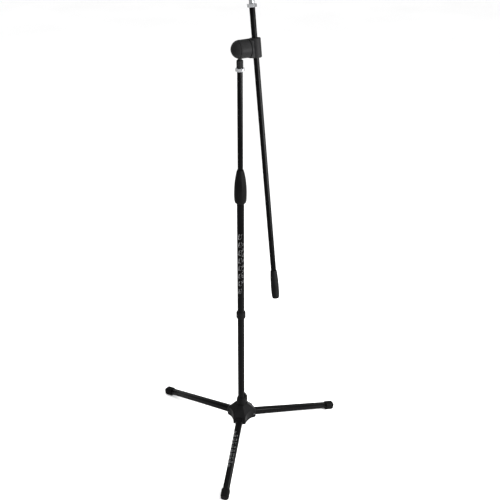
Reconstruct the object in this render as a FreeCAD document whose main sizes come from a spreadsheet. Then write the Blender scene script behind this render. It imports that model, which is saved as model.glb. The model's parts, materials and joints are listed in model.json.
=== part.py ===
"""Microphone boom stand: a folding tripod, a two-stage mast and a boom held at a friction clutch.

Millimetres, +Z up. The origin is on the floor, under the centre of the box round the tripod's feet. The
mast stands behind it, and the front leg points along -Y.
"""

import FreeCAD, Part
import os
import re
import Sketcher

os.makedirs("parts", exist_ok=True)
doc = FreeCAD.newDocument("boom_stand")

# ---------------------------------------------------------------- driving sizes

SIZES = {
    # floor to mast
    "leg_reach": 346,  # mast axis to the outer end of a foot, along the floor
    "leg_droop": 11,  # slope of an open leg, in degrees
    "leg_apex": 78,  # height at which the open legs' axes would meet
    "pin_reach": 38,  # mast axis to a leg pin
    "pin_dia": 6,
    "leg_root_width": 22,
    "leg_root_height": 24,
    "leg_tip_width": 21,
    "leg_tip_height": 20,
    "leg_corner": 8,  # radius of a leg's rounded corners
    "leg_wall": 1.5,
    "leg_start": 9,  # leg pin to the inner end of the leg's tube
    "heel_spigot": 22,  # how far the heel plug reaches into the tube
    "foot_length": 33,
    "foot_wall": 3,
    "foot_corner": 8,
    "foot_end_wall": 6,
    # hub; its heights are counted from where the legs' axes meet
    "arm_reach": 44,  # mast axis to the end of a hub arm
    "ear_wall": 7.6,
    "ear_bottom": -20.5,
    "ear_chamfer": 4,
    "ear_start": 27,  # mast axis to the inner side of an ear
    "skirt_bottom": -16,
    "shoulder": 10,  # top of the hub's upright skirt
    "dome_top": 37,
    "dome_top_reach": 18,
    "dome_top_half_width": 8,
    "web_reach": 33,  # mast axis to the hollowed side between two arms
    "web_radius": 64,
    "neck_wall": 3,
    "neck_top_wall": 0.5,
    "neck_shoulder": 55,
    "neck_top": 62,
    "liner_wall": 1.44,
    "liner_bottom": 22,
    "boss_reach": 18.6,
    "boss_width": 14,
    "boss_top": 67,
    "boss_peak": 75,
    "clamp_screw_dia": 5,
    "clamp_screw_height": 56,
    # mast
    "lower_tube_dia": 22,
    "lower_tube_wall": 1.5,
    "tube_bottom": -18,  # counted from the legs' apex too
    "tube_top": 900,
    "plug_flange_rim": 9,
    "plug_flange_depth": 3,
    "plug_depth": 20,
    "ring_bottom": 448,
    "ring_height": 22,
    "ring_wall": 3.75,
    "ring_chamfer": 2.5,
    "ring_screw_dia": 4,
    "upper_tube_dia": 16,
    "upper_tube_wall": 1.2,
    "upper_tube_bottom": 515,
    "upper_tube_top": 1242.3,
    "guide_length": 24,
    # height clutch
    "grip_length": 104,
    "grip_overlap": 54.5,  # how far the grip reaches down over the lower tube
    "grip_widest": 34,  # widest place above the grip's lower end
    "grip_swell": 7.4,  # widest diameter less the lower end's
    "grip_wall": 1.6,
    "grip_top_wall": 2,
    "grip_edge": 2,
    "thread_sleeve_length": 50,
    "thread_sleeve_wall": 2.5,
    "sleeve_cap": 5,
    "collet_height": 18,
    "collet_wall": 2.5,
    "collet_slot": 2,
    # screw threads and their nuts
    "thread_dia": 15.9,
    "stud_spigot": 25,
    "relief_width": 1,
    "relief_depth": 0.4,
    "nut_wall": 3.55,
    "nut_height": 9,
    "nut_chamfer": 1.2,
    # coupling nut below the boom clutch
    "coupling_wall": 1.55,
    "coupling_height": 21.7,
    "coupling_cap": 4.4,
    "coupling_shoulder": 2.5,
    "flute_count": 12,
    "flute_dia": 2.4,
    # boom clutch, measured along its bolt from the mast axis
    "stem_gap": 3.7,  # coupling nut's top to the clutch ball
    "clutch_azimuth": 36.5,  # where the bolt points, in degrees from +X
    "clutch_dia": 51,
    "knob_face": 8.4,  # mast axis back to the knob's flat face
    "housing_back": 7.2,  # mast axis back to the housing's flat face
    "housing_front": 24.6,
    "housing_edge": 1.5,
    "stem_dia": 11.5,
    "stem_flange_gap": 0.35,
    "stem_flange_height": 2,
    "bolt_dia": 8,
    "bolt_head_rim": 2.5,
    "bolt_head_height": 5.3,
    "insert_wall": 3,
    "insert_depth": 12,
    "washer_wall": 9,
    "friction_disc_inset": 3.5,
    "friction_disc_height": 1.6,
    # boom holder
    "holder_plate": 4.6,
    "holder_reach": 21.6,  # holder's back to the boom's axis
    "sleeve_wall": 6.4,
    "sleeve_length": 54,
    "sleeve_drop": 1.5,  # the sleeve's middle below the bolt
    "sleeve_edge": 3,
    "holder_web": 26,
    "sleeve_liner_wall": 2,
    # boom
    "boom_tilt": 10.4,  # lean of the boom from upright, in degrees
    "boom_dia": 16,
    "boom_wall": 1.2,
    "boom_above": 106,  # clutch to the tube's upper end
    "boom_below": 733,  # clutch to the tube's lower end
    "boom_stud_length": 36,
    "boom_grip_length": 88,
    "boom_grip_top_wall": 1.3,
    "boom_grip_wall": 4.2,
    "boom_grip_end_wall": 2.75,
    "boom_grip_widest": 28,  # widest place above the grip's lower end
    "boom_grip_cap": 6,
    # clearances
    "running": 0.06,  # radial, shaft in a bush
    "air": 0.4,  # between faces that pass without touching
}

sheet = doc.addObject("Spreadsheet::Sheet", "sizes")
for row, (alias, size) in enumerate(SIZES.items(), start=1):
    sheet.set(f"A{row}", alias)
    sheet.set(f"B{row}", str(size))
    sheet.setAlias(f"B{row}", alias)
doc.recompute()

# Lengths worked out from the driving sizes.
LOWER_BORE = "(lower_tube_dia / 2 - lower_tube_wall)"
HUB_BORE = "(lower_tube_dia + 2 * running + 2 * liner_wall)"
NECK_DIA = f"({HUB_BORE} + 2 * neck_wall)"
NECK_TOP_DIA = f"({HUB_BORE} + 2 * neck_top_wall)"
PLUG_DIA = "(lower_tube_dia + 2 * plug_flange_rim)"
RING_DIA = "(lower_tube_dia + 2 * ring_wall)"
ARM_HALF = "(leg_root_width / 2 + air + ear_wall)"
FOOT_WIDTH = "(leg_tip_width + 2 * foot_wall)"
FOOT_HEIGHT = "(leg_tip_height + 2 * foot_wall)"
SLEEVE_OUTSIDE = "(lower_tube_dia / 2 + thread_sleeve_wall)"
GRIP_BORE = f"({SLEEVE_OUTSIDE} + air)"
GRIP_BOTTOM_DIA = f"(2 * {GRIP_BORE} + 2 * grip_wall)"
GRIP_DIA = f"({GRIP_BOTTOM_DIA} + grip_swell)"
GRIP_TOP_DIA = "(upper_tube_dia + 2 * grip_top_wall)"
COLLET_TOP_DIA = "(upper_tube_dia + 2 * collet_wall)"
NUT_FLATS = "(thread_dia + 2 * nut_wall)"
COUPLING_DIA = "(thread_dia + 2 * coupling_wall)"
FLANGE_DIA = "(thread_dia - 2 * stem_flange_gap)"
BOLT_FLATS = "(bolt_dia + 2 * bolt_head_rim)"
INSERT_DIA = "(bolt_dia + 2 * insert_wall)"
WASHER_DIA = "(bolt_dia + 2 * washer_wall)"
FRICTION_DIA = "(clutch_dia - 2 * friction_disc_inset)"
BOOM_GRIP_TOP = "(boom_dia + 2 * boom_grip_top_wall)"
BOOM_GRIP_DIA = "(boom_dia + 2 * boom_grip_wall)"
BOOM_GRIP_END = "(boom_dia + 2 * boom_grip_end_wall)"
UPPER_BORE = "(upper_tube_dia / 2 - upper_tube_wall)"
BOOM_BORE = "(boom_dia / 2 - boom_wall)"
PIN_LEVEL = "(0 - pin_reach * tan(leg_droop))"  # counted from the legs' apex
PIN_HEIGHT = f"(leg_apex + {PIN_LEVEL})"
LEG_LENGTH = "((leg_reach - pin_reach) / cos(leg_droop))"
FOOT_START = f"({LEG_LENGTH} - foot_length)"
TUBE_END = f"({LEG_LENGTH} - foot_end_wall)"
FOOT_SPREAD = (
    f"((leg_reach - foot_corner) * sin(30) + ({FOOT_WIDTH} / 2 - foot_corner) * cos(30) + foot_corner)"
)
MAST_Y = f"((leg_reach - {FOOT_SPREAD}) / 2)"
NUT_BOTTOM = "(upper_tube_top + air)"
COUPLING_BOTTOM = f"({NUT_BOTTOM} + nut_height + air)"
COUPLING_TOP = f"({COUPLING_BOTTOM} + coupling_height)"
STEM_BOTTOM = f"({COUPLING_TOP} - coupling_cap - air - stem_flange_height)"
MAST_STUD_LENGTH = f"({STEM_BOTTOM} - air - upper_tube_top)"
CLUTCH_HEIGHT = f"({COUPLING_TOP} + stem_gap + clutch_dia / 2)"
FRICTION_FRONT = "(housing_front + friction_disc_height)"
HOLDER_BACK = f"({FRICTION_FRONT} + air / 2)"
SLEEVE_OFFSET = f"({HOLDER_BACK} + holder_reach)"
BOLT_HEAD_FRONT = f"({SLEEVE_OFFSET} - boom_dia / 2 - running - sleeve_liner_wall - air)"
LINER_DIA = "(boom_dia + 2 * running + 2 * sleeve_liner_wall)"
SLEEVE_DIA = f"({LINER_DIA} + 2 * sleeve_wall)"


def bound(expression):
    """The expression with each size's name written as the sheet's own cell."""
    return re.sub(r"[a-z_]+", lambda word: f"sizes.{word[0]}" if word[0] in SIZES else word[0], expression)


def value(expression):
    """The number that an expression of the sizes gives."""
    return float(sheet.evalExpression(bound(expression)))


# ---------------------------------------------------------------- ways to make a piece

nodes = []
UP = FreeCAD.Vector(0, 0, 1)
UPRIGHT = FreeCAD.Rotation()
# the clutch's own frame: Z along the bolt, X downwards
ALONG_BOLT = FreeCAD.Rotation(UP, value("clutch_azimuth")) * FreeCAD.Rotation(FreeCAD.Vector(0, 1, 0), 90)
# the boom's own frame: Z along the boom, X along the bolt
ALONG_BOOM = FreeCAD.Rotation(UP, value("clutch_azimuth")) * FreeCAD.Rotation(
    FreeCAD.Vector(1, 0, 0), -value("boom_tilt")
)
BOOM_PLACE = (
    f"{SLEEVE_OFFSET} * cos(clutch_azimuth)",
    f"{SLEEVE_OFFSET} * sin(clutch_azimuth)",
    CLUTCH_HEIGHT,
)


def place(piece, turn=UPRIGHT, at=("0", "0", "0")):
    """Stand a piece in the stand's frame: turned, then moved from the foot of the mast's axis."""
    across, back, up = at
    piece.Placement = FreeCAD.Placement(FreeCAD.Vector(), turn)
    piece.setExpression("Placement.Base.x", bound(across))
    piece.setExpression("Placement.Base.y", bound(f"{back} + {MAST_Y}"))
    piece.setExpression("Placement.Base.z", bound(up))


def new_body(label, turn=UPRIGHT, at=("0", "0", "0")):
    """A piece of the stand, which is written to a file of its own."""
    body = doc.addObject("PartDesign::Body", label)
    body.Label = label
    place(body, turn, at)
    nodes.append(body)
    return body


def origin_feature(body, role):
    return next(part for part in body.Origin.OriginFeatures if part.Role == role)


def new_sketch(body, name, plane, offset="0"):
    sketch = body.newObject("Sketcher::SketchObject", name)
    sketch.AttachmentSupport = (origin_feature(body, plane), [""])
    sketch.MapMode = "FlatFace"
    if offset != "0":
        sketch.setExpression("AttachmentOffset.Base.z", bound(offset))
    return sketch


def fix(sketch, index, corner, at):
    """Hold one corner of a sketch at a pair of expressions."""
    for kind, axis, expression in (("DistanceX", -2, at[0]), ("DistanceY", -1, at[1])):
        if expression == "0":
            sketch.addConstraint(Sketcher.Constraint("PointOnObject", index, corner, axis))
            continue
        held = Sketcher.Constraint(kind, -1, 1, index, corner, value(expression))
        number = sketch.addConstraint(held)
        sketch.setExpression(f"Constraints[{number}]", bound(expression))


def outline(body, name, plane, corners, offset="0"):
    """A closed outline through corners (across, up). A third item rounds the edge that leaves the corner:
    the radius, with the word left or right for the side its centre is on."""
    sketch = new_sketch(body, name, plane, offset)
    spots = [FreeCAD.Vector(value(corner[0]), value(corner[1]), 0) for corner in corners]
    ends = []
    for index, corner in enumerate(corners):
        start = spots[index]
        stop = spots[(index + 1) % len(spots)]
        if len(corner) == 2:
            sketch.addGeometry(Part.LineSegment(start, stop))
            ends.append((1, 2))
            continue
        radius, side = value(corner[2]), corner[3]
        chord = stop - start
        to_left = UP.cross(chord).normalize() * (1 if side == "left" else -1)
        sagitta = radius - (radius**2 - (chord.Length / 2) ** 2) ** 0.5
        middle = start + chord * 0.5 - to_left * sagitta
        sketch.addGeometry(Part.Arc(start, middle, stop))
        ends.append((1, 2) if side == "left" else (2, 1))
    for index, (first, last) in enumerate(ends):
        following = (index + 1) % len(ends)
        sketch.addConstraint(Sketcher.Constraint("Coincident", index, last, following, ends[following][0]))
        fix(sketch, index, first, corners[index][:2])
        if len(corners[index]) > 2:
            number = sketch.addConstraint(Sketcher.Constraint("Radius", index, value(corners[index][2])))
            sketch.setExpression(f"Constraints[{number}]", bound(corners[index][2]))
    return sketch


def circle(body, name, plane, radius, centre=("0", "0"), offset="0"):
    sketch = new_sketch(body, name, plane, offset)
    spot = FreeCAD.Vector(value(centre[0]), value(centre[1]), 0)
    sketch.addGeometry(Part.Circle(spot, UP, value(radius)))
    number = sketch.addConstraint(Sketcher.Constraint("Radius", 0, value(radius)))
    sketch.setExpression(f"Constraints[{number}]", bound(radius))
    fix(sketch, 0, 3, centre)
    return sketch


def rounded_box(body, name, plane, width, height, corner, offset="0", drop="0"):
    """A rectangle with rounded corners, its middle a drop below the origin."""
    x = f"{width} / 2"
    low, high = f"(-{height} / 2 - {drop})", f"({height} / 2 - {drop})"
    path = [
        (f"{x} - {corner}", low, corner, "left"),
        (x, f"{low} + {corner}"),
        (x, f"{high} - {corner}", corner, "left"),
        (f"{x} - {corner}", high),
        (f"-{x} + {corner}", high, corner, "left"),
        (f"-{x}", f"{high} - {corner}"),
        (f"-{x}", f"{low} + {corner}", corner, "left"),
        (f"-{x} + {corner}", low),
    ]
    return outline(body, name, plane, path, offset)


def feature(body, kind, name, sketch, **settings):
    """One PartDesign feature made from a sketch. A cut that takes nothing away is refused."""
    before = body.Shape.Volume if body.Tip else 0
    made = body.newObject(f"PartDesign::{kind}", name)
    made.Profile = (sketch, [""])
    for setting, content in settings.items():
        if isinstance(content, str) and setting in ("Length", "Radius", "Size"):
            made.setExpression(setting, bound(content))
        else:
            setattr(made, setting, content)
    doc.recompute()
    changed = body.Shape.Volume - before
    if (kind in ("Pocket", "Groove", "SubtractiveLoft")) == (changed >= 0):
        raise RuntimeError(f"{body.Label} {name} changed the volume by {changed:.1f}")
    return made


def turned(body, name, corners):
    """A solid of revolution about the body's Z axis, from an outline of (radius, height)."""
    sketch = outline(body, name + "_outline", "XZ_Plane", corners)
    return feature(body, "Revolution", name, sketch, ReferenceAxis=(sketch, ["V_Axis"]), Angle=360)


def repeated(body, name, features, count):
    """The features again, evenly spaced round the body's Z axis."""
    made = body.newObject("PartDesign::PolarPattern", name)
    made.Originals = features
    made.Axis = (origin_feature(body, "Z_Axis"), [""])
    made.Angle = 360
    made.Occurrences = count
    body.Tip = made
    doc.recompute()
    return made


def edges_at(shape, test):
    """The names of the edges whose middle passes a test."""
    names = []
    for index, edge in enumerate(shape.Edges, start=1):
        middle = edge.valueAt((edge.FirstParameter + edge.LastParameter) / 2)
        if test(middle):
            names.append(f"Edge{index}")
    return names


def softened(body, kind, name, size, test):
    """A Fillet or a Chamfer on the edges that pass a test."""
    base = body.Tip
    names = edges_at(base.Shape, test)
    made = body.newObject(f"PartDesign::{kind}", name)
    made.Base = (base, names)
    made.setExpression("Radius" if kind == "Fillet" else "Size", bound(size))
    body.Tip = made
    doc.recompute()
    return made


def pipe(label, outer, bore, length, turn=UPRIGHT, at=("0", "0", "0")):
    """A plain round tube, standing on its lower end."""
    wall = doc.addObject("Part::Cylinder", label + "_outside")
    wall.setExpression("Radius", bound(outer))
    hollow = doc.addObject("Part::Cylinder", label + "_inside")
    hollow.setExpression("Radius", bound(bore))
    for piece in (wall, hollow):
        piece.setExpression("Height", bound(length))
    made = doc.addObject("Part::Cut", label)
    made.Base = wall
    made.Tool = hollow
    made.Label = label
    place(made, turn, at)
    nodes.append(made)
    return made


# ---------------------------------------------------------------- hub

ARM_ANGLES = (0, 120, 240)
FRONT_LEG_TURN = FreeCAD.Rotation(UP, -90)


def arms_outline(body, name, reach, half_width, offset):
    """A six-sided outline: a short side across each arm's end, and a long one from arm to arm."""
    corners = []
    for angle in ARM_ANGLES:
        for side in (-1, 1):
            across = f"{reach} * cos({angle}) - {side} * {half_width} * sin({angle})"
            along = f"{reach} * sin({angle}) + {side} * {half_width} * cos({angle})"
            corners.append((across, along))
    return outline(body, name, "XY_Plane", corners, offset)


def boss_outline(body, name, reach, offset):
    """A rectangle from the mast's axis out to a reach, at the angle of the second arm."""
    angle = ARM_ANGLES[1]
    corners = []
    for out, side in ((0, -1), (1, -1), (1, 1), (0, 1)):
        across = f"{out} * {reach} * cos({angle}) - {side} * boss_width / 2 * sin({angle})"
        along = f"{out} * {reach} * sin({angle}) + {side} * boss_width / 2 * cos({angle})"
        corners.append((across, along))
    return outline(body, name, "XY_Plane", corners, offset)


def make_hub():
    """The moulded hub: three clevis arms under a faceted dome, and a neck that slides on the mast."""
    hub = new_body("hub", FRONT_LEG_TURN, ("0", "0", "leg_apex"))
    skirt = arms_outline(hub, "skirt_outline", "arm_reach", ARM_HALF, "skirt_bottom")
    feature(hub, "Pad", "skirt", skirt, Length="shoulder - skirt_bottom")
    wide = arms_outline(hub, "dome_foot", "arm_reach", ARM_HALF, "shoulder")
    narrow = arms_outline(hub, "dome_crown", "dome_top_reach", "dome_top_half_width", "dome_top")
    feature(hub, "AdditiveLoft", "dome", wide, Sections=[narrow])
    turned(
        hub,
        "neck",
        [
            ("0", "skirt_bottom"),
            (f"{NECK_DIA} / 2", "skirt_bottom"),
            (f"{NECK_DIA} / 2", "neck_shoulder"),
            (f"{NECK_TOP_DIA} / 2", "neck_top"),
            ("0", "neck_top"),
        ],
    )
    hollow = circle(
        hub,
        "web_outline",
        "XY_Plane",
        "web_radius",
        ("(web_reach + web_radius) * cos(60)", "(web_reach + web_radius) * sin(60)"),
        "skirt_bottom",
    )
    web = feature(hub, "Pocket", "web", hollow, Type="ThroughAll", Reversed=True)
    repeated(hub, "webs", [web], 3)
    ear_side = outline(
        hub,
        "ear_outline",
        "XZ_Plane",
        [
            ("ear_start", "ear_bottom + ear_chamfer"),
            ("ear_start + ear_chamfer", "ear_bottom"),
            ("arm_reach - ear_chamfer", "ear_bottom"),
            ("arm_reach", "ear_bottom + ear_chamfer"),
            ("arm_reach", "shoulder"),
            ("ear_start", "shoulder"),
        ],
    )
    ear = feature(hub, "Pad", "ear", ear_side, Length=f"2 * {ARM_HALF}", SideType="Symmetric")
    repeated(hub, "ears", [ear], 3)

    # the slot that the leg swings in: round its heel, then along the open leg's upper side
    heel_room = "(leg_root_height / 2 + air)"
    slot_inner = f"pin_reach - {heel_room}"
    roof_start = (f"pin_reach + {heel_room} * sin(leg_droop)", f"{PIN_LEVEL} + {heel_room} * cos(leg_droop)")
    roof_run = "2 * leg_root_height"
    roof_end = (
        f"{roof_start[0]} + {roof_run} * cos(leg_droop)",
        f"{roof_start[1]} - {roof_run} * sin(leg_droop)",
    )
    below = "ear_bottom - leg_root_height"
    slot_side = outline(
        hub,
        "slot_outline",
        "XZ_Plane",
        [
            (slot_inner, below),
            (roof_end[0], below),
            roof_end,
            (*roof_start, heel_room, "left"),
            (slot_inner, PIN_LEVEL),
        ],
    )
    slot = feature(hub, "Pocket", "slot", slot_side, Length="leg_root_width + 2 * air", SideType="Symmetric")
    pin_side = circle(hub, "pin_hole_outline", "XZ_Plane", "pin_dia / 2", ("pin_reach", PIN_LEVEL))
    pin_hole = feature(hub, "Pocket", "pin_hole", pin_side, Length=f"3 * {ARM_HALF}", SideType="Symmetric")
    repeated(hub, "slots", [slot, pin_hole], 3)

    # the clamp boss stands on the neck, over the second leg
    boss_bottom = "(dome_top - (dome_top - shoulder) / 3)"
    boss = boss_outline(hub, "boss_outline", "boss_reach", boss_bottom)
    feature(hub, "Pad", "boss", boss, Length=f"boss_top - {boss_bottom}")
    peak_foot = boss_outline(hub, "peak_foot", "boss_reach", "boss_top")
    peak = boss_outline(hub, "peak_top", f"({HUB_BORE} / 2 + running)", "boss_peak")
    feature(hub, "AdditiveLoft", "boss_slope", peak_foot, Sections=[peak])
    bore = circle(hub, "bore_outline", "XY_Plane", f"{HUB_BORE} / 2", offset="ear_bottom")
    feature(hub, "Pocket", "bore", bore, Length="boss_peak - ear_bottom", Reversed=True)
    return hub


hub = make_hub()

pipe(
    "hub_liner",
    f"{HUB_BORE} / 2",
    "lower_tube_dia / 2 + running",
    "neck_top - liner_bottom",
    at=("0", "0", "leg_apex + liner_bottom"),
)

BOSS_TURN = FRONT_LEG_TURN * FreeCAD.Rotation(UP, ARM_ANGLES[1])


def across_boss(turn):
    """A frame whose Z axis points out of the boss."""
    return turn * FreeCAD.Rotation(FreeCAD.Vector(0, 1, 0), 90)


def make_set_screw(label, screw_dia, inner, outer, turn, height):
    """A socket set screw lying along a radius, with its hexagon socket facing outwards."""
    screw = new_body(label, across_boss(turn), ("0", "0", height))
    shank = circle(screw, "shank_outline", "XY_Plane", f"{screw_dia} / 2", offset=inner)
    feature(screw, "Pad", "shank", shank, Length=f"{outer} - {inner}")
    socket = hexagon(screw, "socket_outline", f"{screw_dia} / 2", outer)
    feature(screw, "Pocket", "socket", socket, Length=f"{screw_dia} / 2")
    return screw


def hexagon(body, name, flats, offset="0"):
    """A regular hexagon about the body's Z axis, a given size across its flats."""
    corner = f"{flats} / 2 / cos(30)"
    corners = [(f"{corner} * cos({angle})", f"{corner} * sin({angle})") for angle in range(0, 360, 60)]
    return outline(body, name, "XY_Plane", corners, offset)


def drill_radial(body, name, dia, inner, outer, angle, height):
    """A round hole from inner to outer radius, at an angle about the body's Z axis."""
    sketch = body.newObject("Sketcher::SketchObject", name + "_outline")
    sketch.AttachmentSupport = (origin_feature(body, "XY_Plane"), [""])
    sketch.MapMode = "FlatFace"
    turn = FreeCAD.Rotation(UP, angle) * FreeCAD.Rotation(FreeCAD.Vector(0, 1, 0), 90)
    sketch.AttachmentOffset = FreeCAD.Placement(FreeCAD.Vector(), turn)
    reach = {"x": f"{inner} * cos({angle})", "y": f"{inner} * sin({angle})", "z": height}
    for axis, expression in reach.items():
        sketch.setExpression(f"AttachmentOffset.Base.{axis}", bound(expression))
    sketch.addGeometry(Part.Circle(FreeCAD.Vector(), UP, value(f"{dia} / 2")))
    number = sketch.addConstraint(Sketcher.Constraint("Radius", 0, value(f"{dia} / 2")))
    sketch.setExpression(f"Constraints[{number}]", bound(f"{dia} / 2"))
    sketch.addConstraint(Sketcher.Constraint("Coincident", 0, 3, -1, 1))
    return feature(body, "Pocket", name, sketch, Length=f"{outer} - {inner}", Reversed=True)


CLAMP_HOLE = (f"{NECK_DIA} / 4", "2 * boss_reach", ARM_ANGLES[1], "clamp_screw_height")
drill_radial(hub, "clamp_hole", "clamp_screw_dia", *CLAMP_HOLE)
make_set_screw(
    "hub_clamp_screw",
    "clamp_screw_dia",
    f"({HUB_BORE} / 2 + air)",
    "(boss_reach - air)",
    BOSS_TURN,
    "leg_apex + clamp_screw_height",
)

# ---------------------------------------------------------------- legs

LEGS = {"front": -90, "right": 30, "left": 150}


def leg_section(body, name, at, inset):
    """The leg's section at a distance from its pin. It tapers evenly to the foot."""
    share = f"(({at} - leg_start) / ({TUBE_END} - leg_start))"
    width = f"(leg_root_width + (leg_tip_width - leg_root_width) * {share} - 2 * {inset})"
    height = f"(leg_root_height + (leg_tip_height - leg_root_height) * {share} - 2 * {inset})"
    return rounded_box(body, name, "YZ_Plane", width, height, f"(leg_corner - {inset})", at)


def leg_frame(azimuth):
    """A frame at a leg's pin, with X along the leg and down its slope."""
    turn = FreeCAD.Rotation(UP, azimuth) * FreeCAD.Rotation(FreeCAD.Vector(0, 1, 0), value("leg_droop"))
    spot = (f"pin_reach * cos({azimuth})", f"pin_reach * sin({azimuth})", PIN_HEIGHT)
    return turn, spot


def make_leg_tube(side, frame):
    tube = new_body(f"leg_{side}", *frame)
    root = leg_section(tube, "root", "leg_start", "0")
    tip = leg_section(tube, "tip", TUBE_END, "0")
    feature(tube, "AdditiveLoft", "wall", root, Sections=[tip])
    inner_root = leg_section(tube, "inner_root", "leg_start", "leg_wall")
    inner_tip = leg_section(tube, "inner_tip", TUBE_END, "leg_wall")
    feature(tube, "SubtractiveLoft", "hollow", inner_root, Sections=[inner_tip])


def make_heel(side, frame):
    """The plug in a leg's inner end: round about the pin, with a spigot up the tube."""
    heel = new_body(f"leg_heel_{side}", *frame)
    half = "leg_root_height / 2"
    nose = outline(
        heel,
        "nose_outline",
        "XZ_Plane",
        [
            ("0", half, half, "left"),
            (f"-{half}", "0", half, "left"),
            ("0", f"-{half}"),
            ("leg_start", f"-{half}"),
            ("leg_start", half),
        ],
    )
    feature(heel, "Pad", "nose", nose, Length="leg_root_width", SideType="Symmetric")
    side_face = value("leg_root_width") / 2 - 0.01
    softened(heel, "Fillet", "nose_edges", "leg_wall", lambda spot: abs(spot.y) > side_face)
    gap = "(leg_wall + running)"
    foot = leg_section(heel, "spigot_foot", "leg_start", gap)
    end = leg_section(heel, "spigot_end", "(leg_start + heel_spigot)", gap)
    feature(heel, "AdditiveLoft", "spigot", foot, Sections=[end])
    bore = circle(heel, "bore_outline", "XZ_Plane", "pin_dia / 2 + running")
    feature(heel, "Pocket", "bore", bore, Length="2 * leg_root_width", SideType="Symmetric")


def make_foot(side, frame):
    """The rubber boot on a leg's outer end, with its sole flat on the floor."""
    foot = new_body(f"foot_{side}", *frame)
    section = rounded_box(foot, "section", "YZ_Plane", FOOT_WIDTH, FOOT_HEIGHT, "foot_corner", FOOT_START)
    feature(foot, "Pad", "boot", section, Length="foot_length")
    far = value(LEG_LENGTH) - 0.01
    softened(foot, "Fillet", "toe", "foot_corner * 0.7", lambda spot: spot.x > far)
    near = value(FOOT_START) + 0.01
    softened(foot, "Fillet", "cuff", "leg_wall", lambda spot: spot.x < near)
    mouth = leg_section(foot, "mouth", FOOT_START, "0")
    seat = leg_section(foot, "seat", TUBE_END, "0")
    feature(foot, "SubtractiveLoft", "socket", mouth, Sections=[seat])
    slope = "tan(leg_droop)"
    drop = f"({PIN_HEIGHT} / cos(leg_droop))"
    near_x, far_x = "leg_start", f"(2 * {LEG_LENGTH})"
    sole = outline(
        foot,
        "sole_outline",
        "XZ_Plane",
        [
            (near_x, f"{near_x} * {slope} - {drop}"),
            (near_x, f"-2 * {drop}"),
            (far_x, f"-2 * {drop}"),
            (far_x, f"{far_x} * {slope} - {drop}"),
        ],
    )
    feature(foot, "Pocket", "sole", sole, Length=f"2 * {FOOT_WIDTH}", SideType="Symmetric")


def make_pin(side, azimuth):
    """A plain pin through an arm's two ears."""
    turn = FreeCAD.Rotation(UP, azimuth) * FreeCAD.Rotation(FreeCAD.Vector(1, 0, 0), -90)
    spot = (
        f"pin_reach * cos({azimuth}) + {ARM_HALF} * sin({azimuth})",
        f"pin_reach * sin({azimuth}) - {ARM_HALF} * cos({azimuth})",
        PIN_HEIGHT,
    )
    pin = doc.addObject("Part::Cylinder", f"leg_pin_{side}")
    pin.Label = f"leg_pin_{side}"
    pin.setExpression("Radius", bound("pin_dia / 2"))
    pin.setExpression("Height", bound(f"2 * {ARM_HALF}"))
    place(pin, turn, spot)
    nodes.append(pin)


for side, azimuth in LEGS.items():
    frame = leg_frame(azimuth)
    make_leg_tube(side, frame)
    make_heel(side, frame)
    make_foot(side, frame)
    make_pin(side, azimuth)

# ---------------------------------------------------------------- mast

pipe(
    "lower_tube",
    "lower_tube_dia / 2",
    LOWER_BORE,
    "tube_top - leg_apex - tube_bottom",
    at=("0", "0", "leg_apex + tube_bottom"),
)

plug = new_body("tube_plug", at=("0", "0", "leg_apex + tube_bottom"))
turned(
    plug,
    "plug",
    [
        ("0", "-plug_flange_depth"),
        (f"{PLUG_DIA} / 2", "-plug_flange_depth"),
        (f"{PLUG_DIA} / 2", "-plug_flange_depth / 3"),
        ("lower_tube_dia / 2", "0"),
        (LOWER_BORE, "0"),
        (LOWER_BORE, "plug_depth"),
        ("0", "plug_depth"),
    ],
)

ring = new_body("stop_ring", BOSS_TURN, ("0", "0", "ring_bottom"))
turned(
    ring,
    "collar",
    [
        ("lower_tube_dia / 2", "0"),
        (f"{RING_DIA} / 2 - ring_chamfer / 2", "0"),
        (f"{RING_DIA} / 2", "ring_chamfer / 2"),
        (f"{RING_DIA} / 2", "ring_height - ring_chamfer"),
        (f"{RING_DIA} / 2 - ring_chamfer", "ring_height"),
        ("lower_tube_dia / 2", "ring_height"),
    ],
)
drill_radial(ring, "screw_hole", "ring_screw_dia", "lower_tube_dia / 4", RING_DIA, 0, "ring_height / 2")
make_set_screw(
    "stop_ring_screw",
    "ring_screw_dia",
    "(lower_tube_dia / 2)",
    f"({RING_DIA} / 2 - air / 2)",
    BOSS_TURN,
    "ring_bottom + ring_height / 2",
)

pipe(
    "upper_tube",
    "upper_tube_dia / 2",
    UPPER_BORE,
    "upper_tube_top - upper_tube_bottom",
    at=("0", "0", "upper_tube_bottom"),
)

guide = new_body("tube_guide", at=("0", "0", "upper_tube_bottom"))
turned(
    guide,
    "bush",
    [
        (UPPER_BORE, "-upper_tube_wall - air"),
        (f"{LOWER_BORE} - running", "-upper_tube_wall - air"),
        (f"{LOWER_BORE} - running", "guide_length"),
        ("upper_tube_dia / 2 + running", "guide_length"),
        ("upper_tube_dia / 2 + running", "-air"),
        (UPPER_BORE, "-air"),
    ],
)

# ---------------------------------------------------------------- height clutch

sleeve = new_body("clutch_sleeve")
turned(
    sleeve,
    "sleeve",
    [
        ("lower_tube_dia / 2", "tube_top - thread_sleeve_length"),
        (SLEEVE_OUTSIDE, "tube_top - thread_sleeve_length"),
        (SLEEVE_OUTSIDE, "tube_top + sleeve_cap"),
        ("upper_tube_dia / 2 + air", "tube_top + sleeve_cap"),
        ("upper_tube_dia / 2 + air", "tube_top"),
        ("lower_tube_dia / 2", "tube_top"),
    ],
)

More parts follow.
